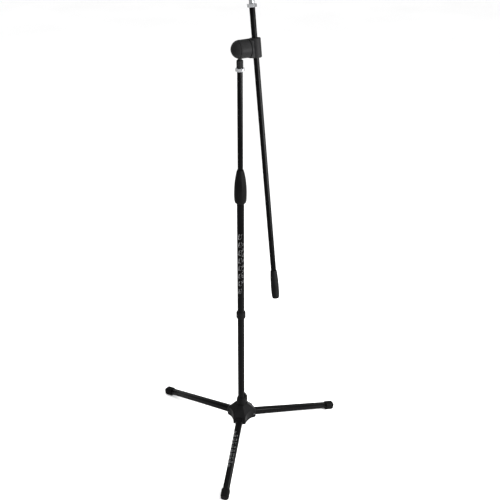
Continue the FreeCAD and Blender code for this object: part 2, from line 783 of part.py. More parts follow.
collet = new_body("height_collet", at=("0", "0", "tube_top + sleeve_cap"))
turned(
    collet,
    "cone",
    [
        ("upper_tube_dia / 2 + running", "0"),
        (SLEEVE_OUTSIDE, "0"),
        (f"{COLLET_TOP_DIA} / 2", "collet_height"),
        ("upper_tube_dia / 2 + running", "collet_height"),
    ],
)
slit = rounded_box(collet, "slit_outline", "YZ_Plane", "collet_slot", "3 * collet_height", "collet_slot / 4")
feature(collet, "Pocket", "slit", slit, Length="2 * lower_tube_dia", Reversed=True)

grip = new_body("height_grip", at=("0", "0", "tube_top - grip_overlap"))
ABOVE = "(grip_length - grip_widest)"
ABOVE_STEP = f"(({GRIP_DIA} - {GRIP_TOP_DIA}) / 2)"
BELOW_STEP = f"(({GRIP_DIA} - {GRIP_BOTTOM_DIA}) / 2)"
COLLET_FOOT = "(grip_overlap + sleeve_cap)"
turned(
    grip,
    "shell",
    [
        (GRIP_BORE, "0"),
        (f"{GRIP_BOTTOM_DIA} / 2 - grip_edge / 2", "0"),
        (
            f"{GRIP_BOTTOM_DIA} / 2",
            "grip_edge / 2",
            f"(((grip_widest - grip_edge / 2) ^ 2 + {BELOW_STEP} ^ 2) / (2 * {BELOW_STEP}))",
            "left",
        ),
        (
            f"{GRIP_DIA} / 2",
            "grip_widest",
            f"(({ABOVE} ^ 2 + {ABOVE_STEP} ^ 2) / (2 * {ABOVE_STEP}))",
            "left",
        ),
        (f"{GRIP_TOP_DIA} / 2", "grip_length"),
        ("upper_tube_dia / 2 + 2 * air", "grip_length"),
        ("upper_tube_dia / 2 + 2 * air", f"{COLLET_FOOT} + collet_height + 2 * air"),
        (f"{COLLET_TOP_DIA} / 2 + air", f"{COLLET_FOOT} + collet_height + 2 * air"),
        (GRIP_BORE, COLLET_FOOT),
    ],
)

# ---------------------------------------------------------------- threaded studs and lock nuts


def make_stud(label, length, bore, turn=UPRIGHT, at=("0", "0", "0")):
    """A threaded end that is pressed into a tube. Its length is what stands out of the tube. A shallow
    relief above the lock nut marks where the free thread starts."""
    stud = new_body(label, turn, at)
    relief = "(nut_height + 2 * air)"
    turned(
        stud,
        "stud",
        [
            ("0", "-stud_spigot"),
            (bore, "-stud_spigot"),
            (bore, "0"),
            ("thread_dia / 2", "0"),
            ("thread_dia / 2", relief),
            ("thread_dia / 2 - relief_depth", relief),
            ("thread_dia / 2 - relief_depth", f"{relief} + relief_width"),
            ("thread_dia / 2", f"{relief} + relief_width"),
            ("thread_dia / 2", f"{length} - nut_chamfer"),
            ("thread_dia / 2 - nut_chamfer", length),
            ("0", length),
        ],
    )


def make_lock_nut(label, turn=UPRIGHT, at=("0", "0", "0")):
    """A hexagon nut with both faces chamfered, free to spin on its stud."""
    nut = new_body(label, turn, at)
    corner = f"{NUT_FLATS} / 2 / cos(30)"
    turned(
        nut,
        "blank",
        [
            ("thread_dia / 2 + running", "0"),
            (f"{corner} - nut_chamfer", "0"),
            (corner, "nut_chamfer / 2"),
            (corner, "nut_height - nut_chamfer / 2"),
            (f"{corner} - nut_chamfer", "nut_height"),
            ("thread_dia / 2 + running", "nut_height"),
        ],
    )
    # each flat is cut by the half plane outside it
    flat = outline(
        nut,
        "flat_outline",
        "XY_Plane",
        [
            (f"{NUT_FLATS} / 2", f"-{NUT_FLATS}"),
            (NUT_FLATS, f"-{NUT_FLATS}"),
            (NUT_FLATS, NUT_FLATS),
            (f"{NUT_FLATS} / 2", NUT_FLATS),
        ],
    )
    cut = feature(nut, "Pocket", "flat", flat, Length="nut_height", Reversed=True)
    repeated(nut, "flats", [cut], 6)


make_stud("mast_stud", MAST_STUD_LENGTH, UPPER_BORE, at=("0", "0", "upper_tube_top"))
make_lock_nut("mast_nut", at=("0", "0", NUT_BOTTOM))

# ---------------------------------------------------------------- coupling nut

coupling = new_body("coupling_nut", at=("0", "0", COUPLING_BOTTOM))
CAP_UNDERSIDE = "(coupling_height - coupling_cap)"
turned(
    coupling,
    "barrel",
    [
        ("thread_dia / 2 + running", "0"),
        (f"{COUPLING_DIA} / 2 - coupling_shoulder / 2", "0"),
        (f"{COUPLING_DIA} / 2", "coupling_shoulder / 2"),
        (f"{COUPLING_DIA} / 2", "coupling_height - coupling_shoulder", "coupling_shoulder", "left"),
        (f"{COUPLING_DIA} / 2 - coupling_shoulder", "coupling_height"),
        ("stem_dia / 2 + running", "coupling_height"),
        ("stem_dia / 2 + running", CAP_UNDERSIDE),
        ("thread_dia / 2 + running", CAP_UNDERSIDE),
    ],
)
FLUTE_CENTRE = (f"{COUPLING_DIA} / 2 + flute_dia / 6", "0")
flute_foot = circle(coupling, "flute_foot", "XY_Plane", "flute_dia / 2", FLUTE_CENTRE, "coupling_shoulder")
flute = feature(
    coupling, "Pocket", "flute", flute_foot, Length="coupling_height - 2 * coupling_shoulder", Reversed=True
)
repeated(coupling, "flutes", [flute], round(value("flute_count")))

# ---------------------------------------------------------------- boom clutch

CLUTCH_PLACE = ("0", "0", CLUTCH_HEIGHT)
BALL = "(clutch_dia / 2)"


def ball_radius_at(back):
    """The clutch ball's radius at a distance behind its centre."""
    return f"sqrt({BALL} ^ 2 - {back} ^ 2)"


def make_housing():
    """The fixed half of the clutch: a drum that ends in a slice of the ball, on a stem."""
    housing = new_body("clutch_housing", ALONG_BOLT, CLUTCH_PLACE)
    turned(
        housing,
        "drum",
        [
            ("0", "-housing_back"),
            (ball_radius_at("housing_back"), "-housing_back", BALL, "left"),
            (BALL, "0"),
            (BALL, "housing_front - housing_edge"),
            (f"{BALL} - housing_edge", "housing_front"),
            ("0", "housing_front"),
        ],
    )
    # the stem leaves the drum downwards, which is the clutch frame's +X
    stem_reach = f"({CLUTCH_HEIGHT} - {STEM_BOTTOM})"
    flange_top = f"({stem_reach} - stem_flange_height)"
    stem = circle(housing, "stem_outline", "YZ_Plane", "stem_dia / 2")
    feature(housing, "Pad", "stem", stem, Length=stem_reach)
    flange = circle(housing, "flange_outline", "YZ_Plane", f"{FLANGE_DIA} / 2", offset=flange_top)
    feature(housing, "Pad", "stem_flange", flange, Length="stem_flange_height")
    bore = circle(housing, "bolt_bore", "XY_Plane", "bolt_dia / 2 + running", offset="-clutch_dia / 2")
    feature(housing, "Pocket", "bore", bore, Length="2 * clutch_dia", Reversed=True)


def make_knob():
    """The hand knob: the rest of the ball, with a threaded insert moulded in."""
    knob = new_body("clutch_knob", ALONG_BOLT, CLUTCH_PLACE)
    turned(
        knob,
        "dome",
        [
            (f"{INSERT_DIA} / 2", "-knob_face"),
            (f"{INSERT_DIA} / 2", "-knob_face - insert_depth"),
            ("0", "-knob_face - insert_depth"),
            ("0", f"-{BALL}", BALL, "left"),
            (ball_radius_at("knob_face"), "-knob_face"),
        ],
    )
    insert = new_body("knob_insert", ALONG_BOLT, CLUTCH_PLACE)
    turned(
        insert,
        "insert",
        [
            ("bolt_dia / 2 + running", "-knob_face - insert_depth"),
            (f"{INSERT_DIA} / 2", "-knob_face - insert_depth"),
            (f"{INSERT_DIA} / 2", "-knob_face"),
            ("bolt_dia / 2 + running", "-knob_face"),
        ],
    )


def disc(label, outer, inner, start, stop):
    """A flat ring on the clutch bolt."""
    made = new_body(label, ALONG_BOLT, CLUTCH_PLACE)
    turned(made, "ring", [(inner, start), (outer, start), (outer, stop), (inner, stop)])


def make_holder():
    """The boom holder: a disc that turns on the bolt, and a sleeve across it that carries the boom."""
    holder = new_body("boom_holder", ALONG_BOOM, CLUTCH_PLACE)
    plate = circle(holder, "plate_outline", "YZ_Plane", BALL, offset=HOLDER_BACK)
    feature(holder, "Pad", "plate", plate, Length="holder_plate")
    tube = circle(
        holder,
        "sleeve_outline",
        "XY_Plane",
        f"{SLEEVE_DIA} / 2",
        (SLEEVE_OFFSET, "0"),
        "(-sleeve_length / 2 - sleeve_drop)",
    )
    feature(holder, "Pad", "sleeve", tube, Length="sleeve_length")
    half = value("sleeve_length") / 2 - 0.01
    drop = value("sleeve_drop")
    softened(holder, "Fillet", "sleeve_ends", "sleeve_edge", lambda spot: abs(spot.z + drop) > half)
    web_size = ("holder_web", "(sleeve_length - 2 * sleeve_edge)", "sleeve_edge")
    web = rounded_box(holder, "web_outline", "YZ_Plane", *web_size, HOLDER_BACK, "2 * sleeve_drop")
    feature(holder, "Pad", "web", web, Length="holder_reach")
    liner_radius = f"{LINER_DIA} / 2"
    bore = circle(holder, "liner_bore", "XY_Plane", liner_radius, (SLEEVE_OFFSET, "0"), "-sleeve_length")
    feature(holder, "Pocket", "boom_bore", bore, Length="2 * sleeve_length", Reversed=True)
    bolt_bore = circle(holder, "bolt_bore_outline", "YZ_Plane", "bolt_dia / 2")
    feature(holder, "Pocket", "bolt_bore", bolt_bore, Length=SLEEVE_OFFSET, Reversed=True)
    head = hexagon_facing_bolt(holder, "head_outline", f"({BOLT_HEAD_FRONT} - bolt_head_height)")
    feature(holder, "Pocket", "head_seat", head, Length=f"{SLEEVE_DIA} / 2", Reversed=True)


def hexagon_facing_bolt(body, name, offset):
    """The bolt head's hexagon, drawn across the bolt in the holder's frame."""
    corner = f"{BOLT_FLATS} / 2 / cos(30)"
    corners = [(f"{corner} * cos({angle})", f"{corner} * sin({angle})") for angle in range(0, 360, 60)]
    return outline(body, name, "YZ_Plane", corners, offset)


def make_bolt():
    """The clutch bolt: its hexagon head is held in the holder, and its end is in the knob's insert."""
    bolt = new_body("clutch_bolt", ALONG_BOOM, CLUTCH_PLACE)
    head_back = f"({BOLT_HEAD_FRONT} - bolt_head_height)"
    head = hexagon_facing_bolt(bolt, "head_outline", head_back)
    feature(bolt, "Pad", "head", head, Length="bolt_head_height")
    tail = "(knob_face + insert_depth - air)"
    shank = circle(bolt, "shank_outline", "YZ_Plane", "bolt_dia / 2", offset=f"-{tail}")
    feature(bolt, "Pad", "shank", shank, Length=f"{tail} + {head_back} + air")


make_housing()
make_knob()
disc("thrust_washer", f"{WASHER_DIA} / 2", "bolt_dia / 2 + air", "-knob_face + air / 2", "-housing_back")
disc("friction_disc", f"{FRICTION_DIA} / 2", "bolt_dia / 2 + air", "housing_front", FRICTION_FRONT)
make_holder()
make_bolt()

# ---------------------------------------------------------------- boom

LINER_LENGTH = "(sleeve_length - 2 * air)"
liner = new_body("sleeve_liner", ALONG_BOOM, BOOM_PLACE)
turned(
    liner,
    "bush",
    [
        ("boom_dia / 2 + running", f"-{LINER_LENGTH} / 2 - sleeve_drop"),
        (f"{LINER_DIA} / 2 - running", f"-{LINER_LENGTH} / 2 - sleeve_drop"),
        (f"{LINER_DIA} / 2 - running", f"{LINER_LENGTH} / 2 - sleeve_drop"),
        ("boom_dia / 2 + running", f"{LINER_LENGTH} / 2 - sleeve_drop"),
    ],
)


def along_boom(distance):
    """A place on the boom's axis, a distance above the clutch."""
    lean = f"{distance} * sin(boom_tilt)"
    return (
        f"{BOOM_PLACE[0]} - {lean} * sin(clutch_azimuth)",
        f"{BOOM_PLACE[1]} + {lean} * cos(clutch_azimuth)",
        f"{BOOM_PLACE[2]} + {distance} * cos(boom_tilt)",
    )


BOOM_LENGTH = "boom_above + boom_below"
pipe("boom_tube", "boom_dia / 2", BOOM_BORE, BOOM_LENGTH, ALONG_BOOM, along_boom("-boom_below"))
make_stud("boom_stud", "boom_stud_length", BOOM_BORE, ALONG_BOOM, along_boom("boom_above"))
make_lock_nut("boom_nut", ALONG_BOOM, along_boom("(boom_above + air)"))

boom_grip = new_body("boom_grip", ALONG_BOOM, along_boom("(-boom_below - boom_grip_cap)"))
SWELL = f"(({BOOM_GRIP_DIA} - {BOOM_GRIP_TOP}) / 2)"
SWELL_RUN = "(boom_grip_length - boom_grip_widest)"
END_STEP = f"(({BOOM_GRIP_DIA} - {BOOM_GRIP_END}) / 2)"
turned(
    boom_grip,
    "grip",
    [
        ("0", "0"),
        (f"{BOOM_GRIP_END} / 2 - boom_grip_cap / 2", "0", "boom_grip_cap / 2", "left"),
        (
            f"{BOOM_GRIP_END} / 2",
            "boom_grip_cap / 2",
            f"(((boom_grip_widest - boom_grip_cap / 2) ^ 2 + {END_STEP} ^ 2) / (2 * {END_STEP}))",
            "left",
        ),
        (
            f"{BOOM_GRIP_DIA} / 2",
            "boom_grip_widest",
            f"(({SWELL_RUN} ^ 2 + {SWELL} ^ 2) / (2 * {SWELL}))",
            "left",
        ),
        (f"{BOOM_GRIP_TOP} / 2", "boom_grip_length"),
        ("boom_dia / 2", "boom_grip_length"),
        ("boom_dia / 2", "boom_grip_cap"),
        ("0", "boom_grip_cap"),
    ],
)

# ---------------------------------------------------------------- checks, then one file for each piece

doc.recompute()
faults = [part.Label for part in doc.Objects if {"Invalid", "Error"} & set(part.State)]
for node in nodes:
    if node.Shape.isNull() or not node.Shape.isValid() or len(node.Shape.Solids) != 1:
        faults.append(node.Label)
if faults:
    raise RuntimeError("these did not build: " + ", ".join(faults))

for node in nodes:
    node.Shape.exportStep(f"parts/{node.Label}.step")
    print(f"{node.Label:18s} {node.Shape.Volume / 1000:8.2f} cm3")
print(f"mast stands {value(MAST_Y):.1f} mm behind the origin, leg pins {value(PIN_HEIGHT):.1f} mm up")
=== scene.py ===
# %% [markdown]
# # A microphone boom stand
# The stand has a folding tripod, a mast of two tubes and a boom that is held by a round friction clutch.
# The moving frame comes first, ready-made, and every piece below takes its place and its size from it.
# Lengths are in metres, Z is up, and the front leg points along -Y.

# %% Load the frame
import json
import math

import bmesh
import bpy
from mathutils import Matrix, Vector


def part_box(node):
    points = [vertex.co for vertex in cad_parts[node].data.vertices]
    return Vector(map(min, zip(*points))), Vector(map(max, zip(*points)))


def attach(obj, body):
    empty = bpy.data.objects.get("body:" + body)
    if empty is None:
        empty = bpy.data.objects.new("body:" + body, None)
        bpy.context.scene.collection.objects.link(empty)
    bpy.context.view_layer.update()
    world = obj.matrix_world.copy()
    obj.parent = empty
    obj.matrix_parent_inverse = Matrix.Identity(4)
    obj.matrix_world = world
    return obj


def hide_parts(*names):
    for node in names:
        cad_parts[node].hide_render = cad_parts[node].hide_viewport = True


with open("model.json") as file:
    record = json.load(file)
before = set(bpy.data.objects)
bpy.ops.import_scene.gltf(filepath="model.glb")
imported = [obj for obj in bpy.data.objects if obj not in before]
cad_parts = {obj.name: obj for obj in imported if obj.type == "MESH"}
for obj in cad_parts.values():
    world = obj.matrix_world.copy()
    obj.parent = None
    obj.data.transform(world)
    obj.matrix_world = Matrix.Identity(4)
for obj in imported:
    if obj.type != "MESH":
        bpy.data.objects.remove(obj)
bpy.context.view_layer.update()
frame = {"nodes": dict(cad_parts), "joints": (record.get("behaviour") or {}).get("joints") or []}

MM = 0.001
joints = {joint["name"]: joint for joint in frame["joints"]}

# %% [markdown]
# ## Places to build in
# A turned piece is easiest to draw upright at the origin and to carry to its place afterwards.
# There are four such places: the mast's foot, the clutch's bolt, the boom's axis and each leg's pin.
# The joints already hold these axes, so nothing has to be measured again.

# %% The mast, the bolt, the boom and the legs as places
def place_of(origin, along_x, along_z):
    """A matrix with its X and Z along two directions, and its origin at a point."""
    z = Vector(along_z).normalized()
    x = (Vector(along_x) - z * Vector(along_x).dot(z)).normalized()
    turn = Matrix((x, z.cross(x), z)).transposed().to_4x4()
    return Matrix.Translation(origin) @ turn


mast_foot = Vector(joints["mast_turn"]["pos_m"])
bolt_direction = Vector(joints["boom_tilt"]["axis"])
boom_direction = Vector(joints["boom_turn"]["axis"])
DOWN = Vector((0, 0, -1))
LEG_SLOPE = math.radians(11)
MAST = Matrix.Translation(mast_foot)
CLUTCH = place_of(joints["boom_tilt"]["pos_m"], DOWN, bolt_direction)
BOOM = place_of(joints["boom_turn"]["pos_m"], bolt_direction, boom_direction)


def leg_place(side):
    """A place at a leg's pin, with X out along the leg and down its slope."""
    pin = Vector(joints[f"{side}_leg_fold"]["pos_m"])
    outwards = Vector((pin.x - mast_foot.x, pin.y - mast_foot.y, 0)).normalized()
    along = outwards * math.cos(LEG_SLOPE) + DOWN * math.sin(LEG_SLOPE)
    across = outwards * math.sin(LEG_SLOPE) - DOWN * math.cos(LEG_SLOPE)
    return place_of(pin, along, across)


print("mast at", tuple(round(c, 4) for c in mast_foot), "clutch at", round(CLUTCH.translation.z, 3))

# %% [markdown]
# ## Ways to make a surface
# Most of the stand is tube and turned work. Such a surface is a row of rings that are joined by quads,
# whether the ring is a circle, a rounded square or a hexagon, so one helper skins them all.
# Spinning a profile with a modifier would do for the round ones alone.

# %% Join rings into a closed surface
def skin(name, rings, loop=False):
    """A mesh object over rings of points. A ring of one point is a pole, and loop joins last to first."""
    shape = bmesh.new()
    rows = [[shape.verts.new(point) for point in ring] for ring in rings]
    pairs = list(zip(rows, rows[1:] + rows[:1] if loop else rows[1:]))
    for low, high in pairs:
        count = max(len(low), len(high))
        for step in range(count):
            after = (step + 1) % count
            corners = [low[step % len(low)], low[after % len(low)]]
            corners += [high[after % len(high)], high[step % len(high)]]
            shape.faces.new(dict.fromkeys(corners))
    for row in () if loop else (rows[0], rows[-1]):
        if len(row) > 1:
            shape.faces.new(row)
    bmesh.ops.recalc_face_normals(shape, faces=shape.faces)
    for face in shape.faces:
        face.smooth = True
    mesh = bpy.data.meshes.new(name)
    shape.to_mesh(mesh)
    shape.free()
    piece = bpy.data.objects.new(name, mesh)
    bpy.context.scene.collection.objects.link(piece)
    return piece


# %% Draw a profile with softened corners
def softened(corners, radius, steps=4):
    """A closed or open line of (across, up) points whose corners are rounded off by a radius."""
    line = []
    for index, (across, up) in enumerate(corners):
        here = Vector((across, up))
        before = Vector(corners[index - 1]) - here
        after = Vector(corners[(index + 1) % len(corners)]) - here
        if across == 0 or before.angle(after) > math.radians(165):
            line.append(here)
            continue
        start = here + before.normalized() * min(radius, before.length * 0.45)
        stop = here + after.normalized() * min(radius, after.length * 0.45)
        for step in range(steps + 1):
            share = step / steps
            line.append(start.lerp(here, share).lerp(here.lerp(stop, share), share))
    return [tuple(point) for point in line]


def rounded_corner(before, corner, after, radius, steps=4):
    """The points of one softened corner alone."""
    return softened([before, corner, after], radius, steps)[steps + 1 : 2 * steps + 2]


def turned(name, line, sides=96):
    """A lathe piece, upright at the origin. It is closed where its line meets the axis, or else a ring."""
    rings = []
    for across, up in line:
        if across == 0:
            rings.append([(0, 0, up)])
            continue
        angles = [2 * math.pi * side / sides for side in range(sides)]
        rings.append([(across * math.cos(angle), across * math.sin(angle), up) for angle in angles])
    return skin(name, rings, loop=line[0][0] != 0)


# %% Copy a moulded piece from the frame
def moulded_copy(node, edge):
    """A merged copy of a node's mesh with its edges rounded, for shapes that no rule gives."""
    piece = bpy.data.objects.new(f"{node}_moulded", frame["nodes"][node].data.copy())
    bpy.context.scene.collection.objects.link(piece)
    shape = bmesh.new()
    shape.from_mesh(piece.data)
    bmesh.ops.remove_doubles(shape, verts=shape.verts, dist=0.002 * MM)
    bmesh.ops.dissolve_limit(shape, angle_limit=math.radians(1), verts=shape.verts, edges=shape.edges)
    for face in shape.faces:
        face.smooth = True
    for corner in shape.edges:
        corner.smooth = corner.calc_face_angle(0) < math.radians(35)
    shape.to_mesh(piece.data)
    shape.free()
    bevel = piece.modifiers.new("rounded edges", "BEVEL")
    bevel.width = edge
    bevel.segments = 3
    bevel.limit_method = "ANGLE"
    bevel.angle_limit = math.radians(35)
    bevel.harden_normals = True
    return piece


# %% Put a piece in its place and give it to its body
def fit(piece, place, body, slot, finish, *nodes):
    """Carry the mesh to its place, give it a finish, and let it ride on a body in place of some nodes."""
    piece.data.transform(place)
    piece.data.materials.clear()
    piece.data.materials.append(finish)
    if not piece.modifiers:
        flats = piece.modifiers.new("flat faces stay flat", "WEIGHTED_NORMAL")
        flats.keep_sharp = True
    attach(piece, body)
    if nodes:
        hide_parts(*nodes)
    size = [round(side / MM, 1) for side in piece.dimensions]
    print(f"{piece.name}: {size} mm, {len(piece.data.polygons)} faces, on {body}")
    return piece


# %% [markdown]
# ## Finishes
# The stand is black nearly all over, but it is not one black. Enamelled steel is deep and has a narrow
# gleam, glass-filled nylon is charcoal with a fine grain, and rubber hardly shines at all.
# Each finish below is a node tree on the piece's own coordinates. Small parts of the trees are shared.

# %% Shared parts of the finishes
def new_finish(name, specular=0.5):
    """A material, its principled shader and the piece's own coordinates."""
    material = bpy.data.materials.new(name)
    material.use_nodes = True
    shader = material.node_tree.nodes["Principled BSDF"]
    shader.inputs["Specular IOR Level"].default_value = specular
    place = material.node_tree.nodes.new("ShaderNodeTexCoord").outputs["Object"]
    return material, shader, place


def grain(material, place, scale, detail=3.0, stretch=(1, 1, 1)):
    """Cloudy noise with a number of lumps to the metre, squeezed along each axis."""
    tree = material.node_tree
    squeeze = tree.nodes.new("ShaderNodeMapping")
    squeeze.inputs["Scale"].default_value = stretch
    cloud = tree.nodes.new("ShaderNodeTexNoise")
    cloud.inputs["Scale"].default_value = scale
    cloud.inputs["Detail"].default_value = detail
    tree.links.new(place, squeeze.inputs["Vector"])
    tree.links.new(squeeze.outputs["Vector"], cloud.inputs["Vector"])
    return cloud.outputs["Fac"]


def between(material, value, low, high, start=0.35, stop=0.65):
    """The value's run from start to stop, spread from low to high."""
    ranger = material.node_tree.nodes.new("ShaderNodeMapRange")
    for socket, number in (("From Min", start), ("From Max", stop), ("To Min", low), ("To Max", high)):
        ranger.inputs[socket].default_value = number
    material.node_tree.links.new(value, ranger.inputs["Value"])
    return ranger.outputs["Result"]


def mixed(material, share, first, second):
    """A colour between two others. Each is three numbers or a colour that is already in the tree."""
    tree = material.node_tree
    mixer = tree.nodes.new("ShaderNodeMix")
    mixer.data_type = "RGBA"
    tree.links.new(share, mixer.inputs["Factor"])
    for socket, colour in ((mixer.inputs[6], first), (mixer.inputs[7], second)):
        if isinstance(colour, tuple):
            socket.default_value = (*colour, 1)
        else:
            tree.links.new(colour, socket)
    return mixer.outputs[2]


def worked_out(material, kind, first, second):
    """A Math node between two sockets or numbers."""
    tree = material.node_tree
    maths = tree.nodes.new("ShaderNodeMath")
    maths.operation = kind
    for socket, number in zip(maths.inputs, (first, second)):
        if isinstance(number, (int, float)):
            socket.default_value = number
        else:
            tree.links.new(number, socket)
    return maths.outputs["Value"]


def paint(material, shader, colour, roughness, height, depth, strength=1.0):
    """Link a finish's colour, roughness and relief to its shader. Depth is the relief's height in metres."""
    tree = material.node_tree
    bump = tree.nodes.new("ShaderNodeBump")
    bump.inputs["Strength"].default_value = strength
    bump.inputs["Distance"].default_value = depth
    tree.links.new(height, bump.inputs["Height"])
    tree.links.new(bump.outputs["Normal"], shader.inputs["Normal"])
    tree.links.new(colour, shader.inputs["Base Color"])
    tree.links.new(roughness, shader.inputs["Roughness"])
    return material


# %% [markdown]
# ### Black enamel
# The tubes are dipped and baked. The coat is deep black and a little uneven, like very fine orange peel,
# and sliding clamps leave long faint rubs in it. Stretched noise gives the rubs, and plain noise the peel.

# %% Black enamel
def make_enamel():
    enamel, shader, place = new_finish("black_enamel", specular=0.03)
    rubs = grain(enamel, place, 160, 4, (1, 1, 0.03))
    clouds = grain(enamel, place, 14, 4)
    peel = grain(enamel, place, 1500, 2)
    colour = mixed(enamel, between(enamel, clouds, 0, 1), (0.0008, 0.0008, 0.00085), (0.0016, 0.0016, 0.0017))
    dulled = between(enamel, rubs, 0.0, 0.16, 0.52, 0.78)
    roughness = worked_out(enamel, "ADD", between(enamel, clouds, 0.2, 0.27), dulled)
    return paint(enamel, shader, colour, roughness, peel, 0.02 * MM, 0.35)


black_enamel = make_enamel()

# %% [markdown]
# ### Moulded nylon
# The hub and the clutch are glass-filled nylon from a spark-eroded mould, so the skin has an even, fine
# grain. Where the plastic flowed, its gloss drifts slowly. Cells of a Voronoi pattern give the grain.
# The hub's copy has the nylon's own black. The clutch's copy is the same black nylon painted lighter, as
# painted light for the brighter light that falls on the clutch, so one function makes both from two colours.

# %% Moulded nylon
def make_nylon(name, specular, darkest, lightest):
    nylon, shader, place = new_finish(name, specular)
    flow = grain(nylon, place, 35, 5)
    tree = nylon.node_tree
    cells = tree.nodes.new("ShaderNodeTexVoronoi")
    cells.inputs["Scale"].default_value = 1400
    tree.links.new(place, cells.inputs["Vector"])
    speckle = worked_out(nylon, "MULTIPLY", cells.outputs["Distance"], grain(nylon, place, 900, 2))
    colour = mixed(nylon, between(nylon, flow, 0, 1), darkest, lightest)
    roughness = between(nylon, flow, 0.42, 0.54)
    return paint(nylon, shader, colour, roughness, speckle, 0.06 * MM, 0.5)


black_nylon = make_nylon("black_nylon", 0.028, (0.0022, 0.0022, 0.0023), (0.0038, 0.0038, 0.004))
# painted light: the same black nylon painted lighter, for the clutch, its sleeve, the boom holder and the
# coupling nut
painted_light_nylon = make_nylon("painted_light_nylon", 0.024, (0.0075, 0.0075, 0.0077), (0.0105, 0.0105, 0.0107))

# %% [markdown]
# ### Rubber
# The hand grips are soft rubber that hands have polished in patches. The feet are a harder, duller rubber,
# which picks up grey floor dust low down, so their colour follows the height above the floor.

# %% Grip rubber and foot rubber
def make_grip_rubber():
    rubber, shader, place = new_finish("grip_rubber", specular=0.028)
    handled = grain(rubber, place, 40, 4)
    pores = grain(rubber, place, 2200, 2)
    colour = mixed(rubber, between(rubber, handled, 0, 1), (0.0018, 0.0018, 0.0019), (0.003, 0.003, 0.0031))
    return paint(rubber, shader, colour, between(rubber, handled, 0.44, 0.6), pores, 0.03 * MM, 0.5)


def make_foot_rubber():
    rubber, shader, place = new_finish("foot_rubber", specular=0.03)
    tree = rubber.node_tree
    blotches = grain(rubber, place, 90, 5)
    pores = grain(rubber, place, 1600, 3)
    apart = tree.nodes.new("ShaderNodeSeparateXYZ")
    tree.links.new(place, apart.inputs["Vector"])
    low = between(rubber, apart.outputs["Z"], 1, 0, 0.0, 12 * MM)
    dust = worked_out(rubber, "MULTIPLY", low, between(rubber, blotches, 0, 0.5))
    colour = mixed(rubber, dust, (0.0022, 0.0022, 0.0023), (0.009, 0.0088, 0.0084))
    return paint(rubber, shader, colour, between(rubber, blotches, 0.55, 0.72), pores, 0.05 * MM, 0.6)


grip_rubber = make_grip_rubber()
foot_rubber = make_foot_rubber()

# %% [markdown]
# ### Metals
# Studs and lock nuts are chromed, the pins and the clutch bolt are zinc-plated, and the set screws are
# black oxide. One function makes all of them: turning marks run round the piece, and finger marks or
# plating clouds change the gloss.

# %% Chrome, zinc, black oxide and brass
def make_metal(name, colour, tarnish, smooth, rough):
    metal, shader, place = new_finish(name)
    shader.inputs["Metallic"].default_value = 1.0
    clouds = grain(metal, place, 160, 5)
    turning = grain(metal, place, 700, 2, (0.15, 0.15, 3))
    share = between(metal, clouds, 0, 1, 0.4, 0.75)
    return paint(
        metal,
        shader,
        mixed(metal, share, colour, tarnish),
        between(metal, clouds, smooth, rough),
        turning,
        0.02 * MM,
        0.3,
    )


chrome = make_metal("bright_chrome", (0.36, 0.365, 0.375), (0.27, 0.275, 0.285), 0.08, 0.2)
zinc = make_metal("zinc_plate", (0.3, 0.305, 0.315), (0.22, 0.22, 0.225), 0.28, 0.42)
black_oxide = make_metal("black_oxide", (0.012, 0.012, 0.013), (0.022, 0.021, 0.02), 0.35, 0.5)
brass = make_metal("turned_brass", (0.4, 0.28, 0.12), (0.3, 0.2, 0.08), 0.2, 0.36)

# %% [markdown]
# ### Bushes, friction disc and print
# The bushes are grey acetal, which is waxy and smooth. The friction disc is pressed fibre with flecks.
# The marks on the tubes are printed in one thin coat of light grey ink, which handling has worn in places.

# %% Acetal, fibre and ink
def make_acetal():
    acetal, shader, place = new_finish("grey_acetal", specular=0.05)
    wax = grain(acetal, place, 120, 3)
    colour = mixed(acetal, between(acetal, wax, 0, 1), (0.004, 0.004, 0.0042), (0.007, 0.007, 0.0073))
    return paint(acetal, shader, colour, between(acetal, wax, 0.35, 0.48), wax, 0.02 * MM, 0.3)


def make_fibre():
    fibre, shader, place = new_finish("pressed_fibre", specular=0.2)
    flecks = grain(fibre, place, 900, 6, (1, 3, 1))
    colour = mixed(fibre, between(fibre, flecks, 0, 1), (0.012, 0.009, 0.007), (0.04, 0.03, 0.02))
    return paint(fibre, shader, colour, between(fibre, flecks, 0.7, 0.9), flecks, 0.08 * MM, 0.7)


def make_ink():
    ink, shader, place = new_finish("worn_grey_ink", specular=0.3)
    wear = grain(ink, place, 900, 5)
    colour = mixed(ink, between(ink, wear, 0, 1, 0.42, 0.68), (0.5, 0.5, 0.505), (0.2, 0.2, 0.202))
    return paint(ink, shader, colour, between(ink, wear, 0.5, 0.7), wear, 0.01 * MM, 0.4)


grey_acetal = make_acetal()
pressed_fibre = make_fibre()
worn_ink = make_ink()
print(len(bpy.data.materials), "finishes")
